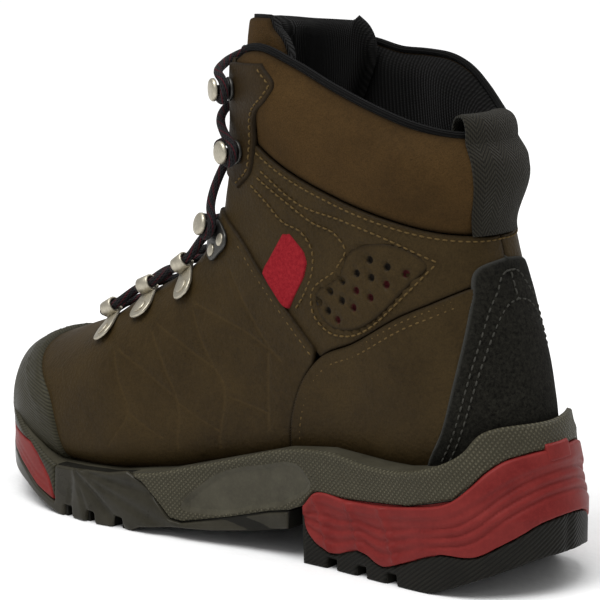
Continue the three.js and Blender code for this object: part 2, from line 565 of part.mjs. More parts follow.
// Lace loop: teardrop plate with a rivet and a curled tunnel for the lace.
function laceLoop() {
  const body = plate([[-7.5, -2], [-6, -4.4], [-2, -5], [4, -3.5], [8, -3.5], [8, 3.5], [4, 3.5],
    [-2, 5], [-6, 4.4], [-7.5, 2]], 0, PLATE);
  const ring = new THREE.Shape();
  ring.absarc(0, 0, TUNNEL_OUT, 0, 2 * Math.PI, false);
  const hole = new THREE.Path();
  hole.absarc(0, 0, TUNNEL_IN, 0, 2 * Math.PI, true);
  ring.holes.push(hole);
  const tunnel = new THREE.ExtrudeGeometry(ring,
    { depth: TUNNEL_WIDTH, bevelEnabled: false, curveSegments: 5 });
  tunnel.rotateX(Math.PI / 2);
  tunnel.translate(7, TUNNEL_WIDTH / 2, TUNNEL_OUT);
  return body.add(toManifold(tunnel)).add(disc(3, PLATE - 0.1, PLATE + 0.8, -2.5, 0));
}

const HOOK_GAP = 2 * LACE_RADIUS + 1.4;
const HOOK_CAP = 2.2;
const SPOOL_NECK = 1.9;

function spool(x, y) {
  const neck = disc(SPOOL_NECK, PLATE - 0.1, PLATE + HOOK_GAP + 0.1, x, y);
  return disc(5, 0, PLATE, x, y).add(neck)
    .add(disc(4.8, PLATE + HOOK_GAP, PLATE + HOOK_GAP + HOOK_CAP, x, y));
}

function lockHook() {
  const body = plate([[-7, -6.5], [-3.5, -8.5], [1, -7], [9, -2], [9, 3], [1, 8], [-3.5, 8.5],
    [-7, 6.5], [-7.5, 0]], 0, PLATE);
  return body.add(disc(3, PLATE - 0.1, PLATE + 0.8, -3, -4.2))
    .add(disc(3, PLATE - 0.1, PLATE + 0.8, -3, 4.2)).add(spool(6.5, 0.5));
}

// Stations of the hardware: [t, distance from the centre line].
const LOOPS = [[5.58, 32], [6.5, 30.5], [7.85, 30.5]];
const LOCK = [9.45, 29.5];
const HOOKS = [[13.2, 29.5], [15.4, 27.5]];
// Height of each piece above the leather surface.
const LOOP_SEAT = GAP + 0.3;
const LOOP_LEAN = 0.25;         // the loops point a little toward the toe
const LOCK_SEAT = GAP + 0.6;
const HOOK_SEAT = 2 * GAP + OVERLAY;

// ---- collar piping -------------------------------------------------------------------------------
// Station at which the collar line crosses the last at angle a.
function collarStation(a) {
  let low = 13;
  let high = TOP;
  for (let i = 0; i < 40; i += 1) {
    const t = (low + high) / 2;
    const p = lastPoint(t, a);
    const rim = p.x > 0 ? COLLAR_TOP : COLLAR_TOP_OUTER;
    if (p.z < lift(heightOn(rim, p.y / LY))) low = t;
    else high = t;
  }
  return (low + high) / 2;
}
const PIPING_START = 0.8;
const PIPING_STEPS = 30;
const pipingPath = [];
for (let i = 0; i <= PIPING_STEPS; i += 1) {
  const a = PIPING_START + ((2 * Math.PI - 2 * PIPING_START) * i) / PIPING_STEPS;
  const t = collarStation(a);
  const p = lastPoint(t, a);
  const rim = p.x > 0 ? COLLAR_TOP : COLLAR_TOP_OUTER;
  const out = lastNormal(t, a).multiplyScalar(outwardPad(p) - PIPING_RADIUS - 0.8).add(p);
  out.z = lift(heightOn(rim, out.y / LY)) + PIPING_RADIUS + 0.8;
  pipingPath.push(out);
}
const piping = cord(pipingPath, PIPING_RADIUS, 6);

// ---- lace -----------------------------------------------------------------------------------------
const LACE_LOW = 2.4;
const LACE_HIGH = LACE_LOW + 2 * LACE_RADIUS + 0.8;
const EDGE_REST = 17;           // where the lace crosses the throat edge
const EDGE_LIFT = 5.2;
const LOOP_REST = 19;
const LOOP_LIFT = 4.4;
const FIRST_BAR = 5.25;         // station of the first run, straight across the throat

// Cord of round section through the given points.
function cord(points, radius, sides) {
  const tangent = points.map((p, i) => {
    const next = points[Math.min(i + 1, points.length - 1)];
    const last = points[Math.max(i - 1, 0)];
    const t = new THREE.Vector3();
    if (i < points.length - 1) t.add(next.clone().sub(p).normalize());
    if (i > 0) t.add(p.clone().sub(last).normalize());
    return t.normalize();
  });
  let across = new THREE.Vector3(0, 0, 1).cross(tangent[0]).normalize();
  const rings = points.map((p, i) => {
    across = across.clone().addScaledVector(tangent[i], -across.dot(tangent[i])).normalize();
    const up = tangent[i].clone().cross(across);
    const ring = [];
    for (let k = 0; k < sides; k += 1) {
      const a = (2 * Math.PI * k) / sides;
      ring.push(p.clone().addScaledVector(across, radius * Math.cos(a))
        .addScaledVector(up, radius * Math.sin(a)));
    }
    return ring;
  });
  return ringSolid(rings, points[0], points[points.length - 1]);
}

const TURN_RADIUS = SPOOL_NECK + LACE_RADIUS + 0.6;
const HOOK_LINE = PLATE + HOOK_GAP / 2;

// Points of the lace where it runs through a loop tunnel or round a hook neck.
function throughLoop(t, s) {
  const frame = seatFrame(t, s, LOOP_SEAT, LOOP_LEAN);
  const up = -Math.sign(s);
  return [-5, 5].map((y) => new THREE.Vector3(7, y * up, TUNNEL_OUT).applyMatrix4(frame));
}

function roundHook(t, s, seat, x, y) {
  const frame = seatFrame(t, s, seat);
  const up = -Math.sign(s);
  const list = [new THREE.Vector3(x + 5.5, y - TURN_RADIUS * up, HOOK_LINE)];
  for (let i = 0; i <= 4; i += 1) {
    const a = -Math.PI / 2 - (Math.PI * i) / 4;
    list.push(new THREE.Vector3(x + TURN_RADIUS * Math.cos(a),
      y + TURN_RADIUS * Math.sin(a) * up, HOOK_LINE));
  }
  list.push(new THREE.Vector3(x + 5.5, y + TURN_RADIUS * up, HOOK_LINE));
  return list.map((p) => p.applyMatrix4(frame));
}

// The two halves of the lace climb from the first pair of loops and cross between
// each pair; the half that starts on the inner side always crosses underneath.
function laceHalf(start, height) {
  const list = [];
  let sign = start;
  LOOPS.forEach(([t, s], i) => {
    const next = i < LOOPS.length - 1 ? LOOPS[i + 1][0] : LOCK[0];
    if (i > 0) list.push(onFront(t - 0.38 * (t - LOOPS[i - 1][0]), LOOP_REST * sign, LOOP_LIFT));
    list.push(...throughLoop(t, s * sign));
    list.push(onFront(t + 0.38 * (next - t), LOOP_REST * sign, LOOP_LIFT));
    list.push(onFront((t + next) / 2, 0, height));
    sign = -sign;
  });
  const stops = [[...LOCK, LOCK_SEAT, 6.5, 0.5], ...HOOKS.map((hook) => [...hook, HOOK_SEAT, 0, 0])];
  stops.forEach(([t, s, seat, x, y], i) => {
    const before = i === 0 ? LOOPS[LOOPS.length - 1][0] : stops[i - 1][0];
    const after = i < stops.length - 1 ? stops[i + 1][0] : t + 1.6;
    list.push(onFront(t - 0.3 * (t - before), EDGE_REST * sign, EDGE_LIFT));
    list.push(...roundHook(t, s * sign, seat, x, y));
    list.push(onFront(t + 0.3 * (after - t), EDGE_REST * sign, EDGE_LIFT));
    if (i < stops.length - 1) list.push(onFront((t + after) / 2 + 0.2, 0, height));
    sign = -sign;
  });
  list.push(onFront(HOOKS[1][0] + 0.9, 8 * sign, height));
  return list;
}

const firstBar = [22, 12, 0, -12, -22].map((s) => onFront(FIRST_BAR, s, LACE_LOW + 0.6));
const laceRun = [...laceHalf(1, LACE_LOW).reverse(), ...firstBar, ...laceHalf(-1, LACE_HIGH)];
const lace = cord(laceRun, LACE_RADIUS, 8);

// ---- materials and assembly ---------------------------------------------------------------------------
const boot = new THREE.Group();

function material(color, roughness, metalness) {
  return new THREE.MeshStandardMaterial({ color, roughness, metalness });
}
const LOOKS = {
  leather: material(0x483a28, 0.75, 0),
  nubuck: material(0x4f3f2b, 0.9, 0),
  suede_red: material(0x7d2129, 0.9, 0),
  rubber: material(0x2a2924, 0.7, 0),
  toe_rubber: material(0x3c3931, 0.65, 0),
  frame_grey: material(0x423f38, 0.7, 0),
  wedge_red: material(0x803130, 0.65, 0),
  knit: material(0x17171a, 0.95, 0),
  counter: material(0x1f1e19, 0.95, 0),
  webbing: material(0x2f2c25, 0.95, 0),
  board: material(0x8a7a5c, 0.9, 0),
  foam: material(0x4c4c4c, 1, 0),
  shank_grey: material(0x707478, 0.5, 0.3),
  metal: material(0xb7ac93, 0.35, 0.9),
  lace: material(0x1f1b1d, 0.9, 0),
};

function add(name, solid, look) {
  const mesh = new THREE.Mesh(toGeometry(solid), LOOKS[look].clone());
  mesh.name = name;
  boot.add(mesh);
}

// Largest connected body of a cut piece.
function main(solid) {
  const list = solid.decompose();
  return list.reduce((a, b) => (b.volume() > a.volume() ? b : a));
}

function pair(name, solid, look) {
  add(`${name}_medial`, main(solid.intersect(innerHalf)), look);
  add(`${name}_lateral`, main(solid.intersect(outerHalf)), look);
}

const soleClear = shankSolid(GAP);
add('outsole_front', main(frontLugs), 'rubber');
add('outsole_heel', main(heelLugs), 'rubber');
add('midsole_wedge', main(wedge), 'wedge_red');
add('midsole_toe_insert', main(toeInsert), 'wedge_red');
add('midsole_frame', main(frameSolid.add(toeFrame).subtract(insertZone(GAP))
  .subtract(soleClear)), 'frame_grey');
add('shank', main(shankSolid(0)), 'shank_grey');
add('insole_board', main(insoleBoard), 'board');
add('footbed', main(footbed), 'foam');
pair('lining', lining, 'knit');
add('toe_puff', main(toePuff), 'board');
add('heel_stiffener', main(heelStiffener), 'board');
add('vamp', main(vamp), 'leather');
pair('heel_quarter', heelPanel, 'leather');
pair('ankle_panel', middlePart, 'leather');
pair('eyestay_facing', frontPart, 'leather');
add('collar_shell', main(collarShell), 'nubuck');
add('collar_foam', main(collarFoam), 'foam');
pair('eyestay_tab', eyestay, 'nubuck');
pair('accent', accent, 'suede_red');
pair('vent_patch', ventPatch, 'leather');
add('toe_rand', main(toeRand), 'toe_rubber');
add('heel_counter', main(heelCounter), 'counter');
add('pull_loop', main(pullLoop), 'webbing');
add('collar_piping', piping, 'webbing');
add('tongue_face', main(tongueOuter), 'nubuck');
add('tongue_pad', main(tonguePad), 'knit');
pair('gusset', gussetStrip, 'knit');
add('lace', lace, 'lace');

function mount(name, solid, frame, look) {
  const mesh = new THREE.Mesh(toGeometry(solid), LOOKS[look].clone());
  mesh.name = name;
  mesh.applyMatrix4(frame);
  boot.add(mesh);
}

[['medial', 1], ['lateral', -1]].forEach(([label, sign]) => {
  LOOPS.forEach(([t, s], i) => {
    mount(`lace_loop_${i + 1}_${label}`, laceLoop(),
      seatFrame(t, s * sign, LOOP_SEAT, LOOP_LEAN), 'metal');
  });
  mount(`locking_hook_${label}`, lockHook(),
    seatFrame(LOCK[0], LOCK[1] * sign, LOCK_SEAT), 'metal');
  HOOKS.forEach(([t, s], i) => {
    mount(`speed_hook_${i + 1}_${label}`, spool(0, 0),
      seatFrame(t, s * sign, HOOK_SEAT), 'metal');
  });
});

// The origin lies midway across the sole, on the ground.
const breadth = PLAN.map(([x]) => x);
boot.position.x = -(Math.max(...breadth) + Math.min(...breadth)) / 2;

export default boot;
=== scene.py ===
import math

import bpy
import numpy as np
from mathutils import Matrix, Vector, geometry, kdtree


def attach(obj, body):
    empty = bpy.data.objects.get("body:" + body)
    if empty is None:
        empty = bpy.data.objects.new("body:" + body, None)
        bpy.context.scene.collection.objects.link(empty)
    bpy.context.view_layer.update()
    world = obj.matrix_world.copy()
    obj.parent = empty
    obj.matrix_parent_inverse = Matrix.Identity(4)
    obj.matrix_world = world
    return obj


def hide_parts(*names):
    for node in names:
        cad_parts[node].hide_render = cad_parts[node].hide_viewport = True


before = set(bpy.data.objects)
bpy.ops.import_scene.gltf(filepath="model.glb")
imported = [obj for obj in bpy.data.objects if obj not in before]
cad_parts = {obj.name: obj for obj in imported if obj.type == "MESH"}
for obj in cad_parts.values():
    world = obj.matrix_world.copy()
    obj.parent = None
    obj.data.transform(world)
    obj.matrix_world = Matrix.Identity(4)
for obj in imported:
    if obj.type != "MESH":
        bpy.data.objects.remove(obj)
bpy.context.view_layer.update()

# Shapes below are worked out in millimetres on the same last as the CAD part.
MM = 0.001
SHIFT = np.array([2.5, 0.0, 0.0])

# ---- last ---------------------------------------------------------------------
# front y, z; back y, z; half widths; centre; widest place; roundness front, back
LAST = np.array([
    [-145, 48, -146, 38, 7, 10, 2, 0.6, 2.1, 2.4],
    [-143, 55, -145, 34, 11, 17, 2, 0.62, 2.1, 2.8],
    [-137, 61, -139, 31, 18, 25, 2.5, 0.64, 2.1, 3.2],
    [-124, 67, -127, 27, 30, 35, 3, 0.66, 2.1, 3.5],
    [-105, 74, -108, 22.5, 40, 43.5, 2.5, 0.68, 2.2, 3.8],
    [-82, 83, -84, 18.5, 46, 48, 1, 0.68, 2.4, 3.8],
    [-60, 96.5, -58, 18, 48, 51, -0.5, 0.68, 2.6, 3.6],
    [-42, 106.5, -30, 21, 45, 50, -1.5, 0.66, 2.8, 3.4],
    [-28, 117.5, 2, 26, 41, 46, -1.5, 0.62, 3, 3.2],
    [-19.5, 131.5, 40, 31, 37.5, 40.5, -1, 0.58, 3.1, 3],
    [-15, 146, 80, 34, 36, 38, -0.5, 0.55, 3.2, 2.8],
    [-13, 158, 118, 35, 35.5, 37, 0, 0.54, 3.3, 2.5],
    [-12, 166, 135.5, 48, 35.5, 36.5, 0, 0.53, 3.4, 2.3],
    [-11.5, 173, 135.5, 74, 35, 36, 0, 0.52, 3.5, 2.2],
    [-11, 181, 127.5, 103, 34.5, 35, 0, 0.52, 3.5, 2.2],
    [-11, 190, 117.5, 132, 34.5, 35, 0, 0.52, 3.5, 2.2],
    [-10.5, 200, 111.5, 160, 34.5, 35, 0, 0.52, 3.5, 2.2],
    [-9.5, 211, 108, 184, 34.5, 35, 0, 0.52, 3.4, 2.2],
    [-8, 228, 108, 212, 35, 35.5, 0, 0.52, 3.2, 2.2],
])
TOP = len(LAST) - 1
TOE_POLE = np.array([2.0, -149.5, 43.0])
TOE_RING = np.array([2.0, -145.5, 43.0])
TOE_CENTRE = np.array([2.0, -138.0, 43.0])
HALVINGS = 40                   # steps of every halving search
T_SCALE = 14.0                  # millimetres per station in a panel's flat pattern
A_SCALE = 45.0                  # millimetres per radian in a panel's flat pattern


def section(t):
    """Catmull-Rom blend of the stations at position t."""
    t = np.clip(t, 0, TOP)
    i = np.minimum(t.astype(int), TOP - 1)
    f = (t - i)[:, None]
    p, q, r, n = (LAST[np.clip(i + k, 0, TOP)] for k in (-1, 0, 1, 2))
    return 0.5 * (2 * q + (r - p) * f + (2 * p - 5 * q + 4 * r - n) * f ** 2
                  + (3 * q - p - 3 * r + n) * f ** 3)


def last_point(t, a):
    """Point of the leather surface; below t = 0 the toe closes to a pole."""
    t, a = (np.atleast_1d(np.asarray(v, float)) for v in np.broadcast_arrays(t, a))
    s = section(t)
    u = (1 - np.cos(a)) / 2
    m = s[:, 7]
    q = np.where(u < m, (m - u) / m, (u - m) / (1 - m))
    n = np.where(u < m, s[:, 8], s[:, 9])
    h = np.clip(1 - np.abs(q) ** n, 0, 1) ** (1 / n)
    x = np.where(np.sin(a) >= 0, s[:, 6] + s[:, 4] * h, s[:, 6] - s[:, 5] * h)
    p = np.stack([x, s[:, 0] + (s[:, 2] - s[:, 0]) * u, s[:, 1] + (s[:, 3] - s[:, 1]) * u], 1)
    k = np.clip(1 + t, 0, 1)[:, None] * math.pi / 2
    cap = TOE_RING + (p - TOE_RING) * np.sin(k) + (TOE_POLE - TOE_RING) * np.cos(k)
    return np.where((t < 0)[:, None], cap, p)


def unit(v):
    return v / np.maximum(np.linalg.norm(v, axis=-1, keepdims=True), 1e-9)


def last_normal(t, a):
    e = 0.004
    t, a = (np.atleast_1d(np.asarray(v, float)) for v in np.broadcast_arrays(t, a))
    along = last_point(np.minimum(t + e, TOP), a) - last_point(np.maximum(t - e, -1), a)
    around = last_point(t, a + e) - last_point(t, a - e)
    normal = unit(np.cross(around, along))
    cap = smoothstep(-t, 0.1, 0.7)[:, None]
    outward = unit(last_point(t, a) - TOE_CENTRE)
    return unit(normal * (1 - cap) + outward * cap)


# ---- lines --------------------------------------------------------------------
def spline(points, step=1.0, closed=False):
    """Smooth curve through the points, resampled about every step."""
    p = np.array(points, float)
    if closed:
        p = np.vstack([p[-1:], p, p[:2]])
    h = np.maximum(np.linalg.norm(np.diff(p, axis=0), axis=1), 1e-9)
    slope = np.diff(p, axis=0) / h[:, None]
    m = np.empty_like(p)
    m[0], m[-1] = slope[0], slope[-1]
    m[1:-1] = (slope[:-1] * h[1:, None] + slope[1:] * h[:-1, None]) / (h[1:] + h[:-1])[:, None]
    out = []
    first, last = (1, len(p) - 2) if closed else (0, len(p) - 1)
    for i in range(first, last):
        n = max(int(round(h[i] / step)), 1)
        f = (np.arange(n) / n)[:, None]
        out.append((2 * f ** 3 - 3 * f ** 2 + 1) * p[i] + (f ** 3 - 2 * f ** 2 + f) * h[i] * m[i]
                   + (3 * f ** 2 - 2 * f ** 3) * p[i + 1] + (f ** 3 - f ** 2) * h[i] * m[i + 1])
    if not closed:
        out.append(p[-1:])
    return np.vstack(out)


def run_along(p):
    """Distance along a line up to each of its points."""
    return np.concatenate([[0], np.cumsum(np.linalg.norm(np.diff(p, axis=0), axis=1))])


def even(points, step):
    """The same line with points about every step along it."""
    p = np.array(points, float)
    run = run_along(p)
    keep = np.concatenate([[True], np.diff(run) > 1e-9])
    p, run = p[keep], run[keep]
    at = np.linspace(0, run[-1], max(int(round(run[-1] / step)), 1) + 1)
    return np.stack([np.interp(at, run, p[:, k]) for k in range(p.shape[1])], 1)


def reach(points, line):
    """Distance of each point from a line given by close points."""
    out = np.empty(len(points))
    for i in range(0, len(points), 2000):
        d = points[i:i + 2000, None, :] - line[None, :, :]
        out[i:i + 2000] = np.sqrt((d ** 2).sum(-1).min(1))
    return out


def anticlockwise(ring):
    """The ring, turned round where it runs clockwise."""
    after = np.roll(ring, -1, axis=0)
    return ring[::-1] if (ring[:, 0] * after[:, 1] - after[:, 0] * ring[:, 1]).sum() < 0 else ring


def inside(points, ring):
    x, y = points[:, 0], points[:, 1]
    hit = np.zeros(len(points), bool)
    for (x0, y0), (x1, y1) in zip(ring, np.roll(ring, -1, axis=0)):
        if y0 == y1:
            continue
        cross = (y0 > y) != (y1 > y)
        hit ^= cross & (x < (x1 - x0) * (y - y0) / (y1 - y0) + x0)
    return hit


def smoothstep(x, a, b):
    t = np.clip((x - a) / (b - a), 0, 1)
    return t * t * (3 - 2 * t)


COLLAR_TOP = [[-40, 193], [-2, 202], [8, 206], [19, 207.5], [37, 203], [58, 195], [80, 187],
              [94, 182], [106, 178.5], [140, 177]]
COLLAR_TOP_OUTER = [[-40, 193], [-2, 201], [8, 204.5], [19, 205], [37, 202], [51, 202],
                    [64, 201], [74, 197.5], [84, 191], [94, 184], [106, 178.5], [140, 177]]
COLLAR_SEAM = [[-40, 200], [0, 178], [18, 167], [33, 160], [58, 152], [82, 146], [101, 142],
               [140, 138]]
QUARTER_SEAM = [[150, 131], [115, 120], [104, 114], [92, 108], [69, 94], [52, 86], [44, 77],
                [39, 66], [34, 45], [30, 10]]
VAMP_EDGE = [[-40, 141], [-5, 136], [3, 132], [20, 117], [36, 102], [52, 87]]
RAND_EDGE = [[-128, 90], [-116, 66], [-93, 48], [-86, 31], [-82, 8]]
COUNTER_EDGE = [[119, 131], [115.5, 128], [116, 116], [116, 101], [114, 83], [110, 64],
                [101, 47], [92, 20]]
FEATHER_LINE = [[-170, 42], [-135, 40], [-118, 36.5], [-105, 31], [-92, 25], [-84, 22],
                [-52, 23.5], [-25, 28], [-8, 33], [12, 39], [37, 46.5], [58, 49], [82, 47],
                [95, 47], [110, 49.4], [119, 52], [131, 58], [138, 65.5], [170, 66]]
FRAME_BASE = [[-26, 15], [-20, 8.7], [-14, 8], [9, 13.4], [29, 19], [39, 21], [46, 24],
              [53, 31], [70, 31], [102, 34], [125, 40], [132, 45.6], [138, 51.5],
              [143, 55.4], [149, 57.5], [170, 58]]
WEDGE_BASE = [[46.5, 24], [49, 14], [53, 10], [63, 7], [77, 11], [90, 6.7], [98, 9.4],
              [117, 16.6], [133, 18], [138, 21.4], [144, 26], [148, 30], [151, 32], [170, 33]]


class Height:
    """Height of a side-view line at y, smoothed."""

    def __init__(self, points):
        self.line = spline(points, 1.0)

    def __call__(self, y):
        return np.interp(y, self.line[:, 0], self.line[:, 1])


collar_top, collar_top_outer = Height(COLLAR_TOP), Height(COLLAR_TOP_OUTER)
collar_seam, feather = Height(COLLAR_SEAM), Height(FEATHER_LINE)
frame_base, wedge_base = Height(FRAME_BASE), Height(WEDGE_BASE)


def rim_height(p):
    return np.where(p[:, 0] > 0, collar_top(p[:, 1]), collar_top_outer(p[:, 1]))


def pad_share(p):
    low, high = collar_seam(p[:, 1]), rim_height(p)
    w = (p[:, 2] - low) / (high - low)
    return smoothstep(w, 0, 0.6) * (1 - 0.45 * smoothstep(w, 0.7, 1))


def outward_pad(p):
    rear = smoothstep(p[:, 1], 60, 108)
    return pad_share(p) * smoothstep(p[:, 1], 2, 26) * (3.5 + 5 * rear)


def inward_pad(p):
    return 4 * pad_share(p) * smoothstep(p[:, 1], 46, 70)


def on_last(ab):
    """Point and normal of the last for a flat pattern's points."""
    t, a = ab[:, 0] / T_SCALE, ab[:, 1] / A_SCALE
    return last_point(t, a), last_normal(t, a)


def upper(ab, d):
    """Point of the upper for a flat pattern's point, d millimetres off the leather."""
    p, normal = on_last(ab)
    return p + normal * (d + outward_pad(p))[:, None]


# Side-view point (y, z) to station and share of the way round.
_tt, _uu = np.meshgrid(np.linspace(0, TOP, 721), np.linspace(0, 1, 61), indexing="ij")
_tt, _uu = _tt.ravel(), _uu.ravel()


def side_view(t, u):
    s = section(t)
    return np.stack([s[:, 0] + (s[:, 2] - s[:, 0]) * u, s[:, 1] + (s[:, 3] - s[:, 1]) * u], 1)


_grid = side_view(_tt, _uu)
_tree = kdtree.KDTree(len(_grid))
for _i, (_y, _z) in enumerate(_grid):
    _tree.insert((_y, _z, 0), _i)
_tree.balance()


def on_side(points, side=1, wrap="front"):
    """Flat-pattern points of side-view points. A front-wrapped pattern has the front or
    top edge of the boot at 0, a back-wrapped one has the back edge in its middle."""
    p = np.atleast_2d(np.array(points, float))
    near = [_tree.find((y, z, 0))[1] for y, z in p]
    t, u = _tt[near], _uu[near]
    for _ in range(8):
        e = 1e-4
        f = side_view(t, u)
        jt = (side_view(np.minimum(t + e, TOP), u) - side_view(np.maximum(t - e, 0), u)) / (2 * e)
        ju = (side_view(t, u + e) - f) / e
        det = jt[:, 0] * ju[:, 1] - jt[:, 1] * ju[:, 0]
        det = np.where(np.abs(det) < 1e-6, 1e-6, det)
        r = p - f
        t = np.clip(t + np.clip((r[:, 0] * ju[:, 1] - r[:, 1] * ju[:, 0]) / det, -0.3, 0.3), 0, TOP)
        u = np.clip(u + np.clip((jt[:, 0] * r[:, 1] - jt[:, 1] * r[:, 0]) / det, -0.1, 0.1), 0, 1)
    a = np.arccos(np.clip(1 - 2 * u, -1, 1))
    if side < 0:
        a = -a if wrap == "front" else 2 * math.pi - a
    return np.stack([t * T_SCALE, a * A_SCALE], 1)


def angle_at(t, s):
    """Angle at station t where the front is s millimetres from the centre line."""
    q = section(np.atleast_1d(float(t)))[0]
    h = min(abs(s) / (q[5] if s < 0 else q[4]), 1)
    u = q[7] * (1 - (1 - h ** q[8]) ** (1 / q[8]))
    return math.copysign(math.acos(1 - 2 * u), s)


THROAT = [[4.75, 3], [5, 9], [5.4, 13], [6, 15], [7, 17], [8, 18], [9, 19], [10, 19],
          [12, 19], [14, 19], [16, 19], [18, 19]]


def throat_edge(side, inset=0.0):
    """Flat-pattern line of the throat's edge from the toe end up, on one side."""
    line = spline([[t * 20, w] for t, w in THROAT], 1.5)
    return np.array([[t / 20 * T_SCALE, angle_at(t / 20, side * max(w - inset, 0.5)) * A_SCALE]
                     for t, w in line])


# ---- meshes -------------------------------------------------------------------
def new_object(name, verts, faces, materials, smooth=True, index=None):
    mesh = bpy.data.meshes.new(name)
    mesh.from_pydata(((np.asarray(verts) + SHIFT) * MM).tolist(), [],
                     [list(map(int, f)) for f in faces])
    for m in materials:
        mesh.materials.append(m)
    if index is not None:
        mesh.polygons.foreach_set("material_index", np.asarray(index, np.int32))
    mesh.polygons.foreach_set("use_smooth", [smooth] * len(mesh.polygons))
    mesh.validate()
    obj = bpy.data.objects.new(name, mesh)
    bpy.context.scene.collection.objects.link(obj)
    return obj


def ring_quads(start, rings, n):
    """Faces between rings of n points whose first point has the number start."""
    return [(start + i * n + k, start + i * n + (k + 1) % n,
             start + (i + 1) * n + (k + 1) % n, start + (i + 1) * n + k)
            for i in range(rings - 1) for k in range(n)]


def set_attribute(obj, name, values):
    attribute = obj.data.attributes.new(name, "FLOAT", "POINT")
    attribute.data.foreach_set("value", np.asarray(values, np.float32))


def set_uv(obj, uv):
    """Pattern coordinates in millimetres, as a UV map."""
    layer = obj.data.uv_layers.new(name="pattern")
    loops = np.zeros(len(obj.data.loops), np.int32)
    obj.data.loops.foreach_get("vertex_index", loops)
    layer.data.foreach_set("uv", np.asarray(uv, np.float32)[loops].ravel())


def hang(obj, body, slot_name, *nodes):
    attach(obj, body)
    if nodes:
        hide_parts(*nodes)
    return obj


RING_STEP = 1.1                 # millimetres between an outline's points
EDGE_RINGS = (0.3, 0.75, 1.4)   # rows of points that round an edge, in edge widths
MOST_STEP = 3                   # limit where the pattern is very stretched
EDGE_SHADE_WIDTH = 0.8                # reach of the edge tone, in edge widths: painted shade along the edges of the leather, nubuck and red suede panels, a lighter edge on black suede and rubber
MARK_WIDTH = 0.34               # millimetres to each side of an embossed line


def inward_steps(surface, ring, base):
    """For each point of an outline, the step in the pattern that goes one millimetre
    inward on the surface."""
    e = 0.05
    sa = (surface(ring + [e, 0], 0.0) - surface(ring - [e, 0], 0.0)) / (2 * e)
    sb = (surface(ring + [0, e], 0.0) - surface(ring - [0, e], 0.0)) / (2 * e)
    tangent = np.roll(base, -1, axis=0) - np.roll(base, 1, axis=0)
    pattern_tangent = np.roll(ring, -1, axis=0) - np.roll(ring, 1, axis=0)
    inward_pattern = np.stack([-pattern_tangent[:, 1], pattern_tangent[:, 0]], 1)
    guess = sa * inward_pattern[:, :1] + sb * inward_pattern[:, 1:]
    tangent = unit(tangent)
    inward = unit(guess - tangent * (guess * tangent).sum(1, keepdims=True))
    g11, g12, g22 = (sa * sa).sum(1), (sa * sb).sum(1), (sb * sb).sum(1)
    det = np.maximum(g11 * g22 - g12 * g12, 1e-6)
    ra, rb = (sa * inward).sum(1), (sb * inward).sum(1)
    step_in = np.stack([(g22 * ra - g12 * rb) / det, (g11 * rb - g12 * ra) / det], 1)
    return np.clip(step_in, -MOST_STEP, MOST_STEP)


def pattern_points(ring, step_in, far_from_edge, step, edge, extra):
    """Pattern points of a panel: its outline, rows that follow it, then an even grid."""
    points = [ring]
    for k in EDGE_RINGS:
        q = ring + step_in * (k * edge)
        far = far_from_edge(q)
        points.append(q[inside(q, ring) & (far > 0.8 * k * edge)])
    low, high = ring.min(0), ring.max(0)
    rows = np.arange(low[1] + step / 2, high[1], step * 0.87)
    grid = []
    for i, b in enumerate(rows):
        a = np.arange(low[0] + (step / 2 if i % 2 else 0), high[0], step)
        grid.append(np.stack([a, np.full(len(a), b)], 1))
    grid = np.vstack(grid)
    grid = grid[inside(grid, ring)]
    far = far_from_edge(grid)
    grid = grid[far > EDGE_RINGS[-1] * edge + 0.55 * step]
    if extra is not None:
        extra = np.asarray(extra)
        extra = extra[inside(extra, ring)]
        extra = extra[far_from_edge(extra) > 1.6 * edge]
        grid = grid[reach(grid, extra) > 0.45 * step]
        points.append(extra)
    points.append(grid)
    return np.vstack(points)


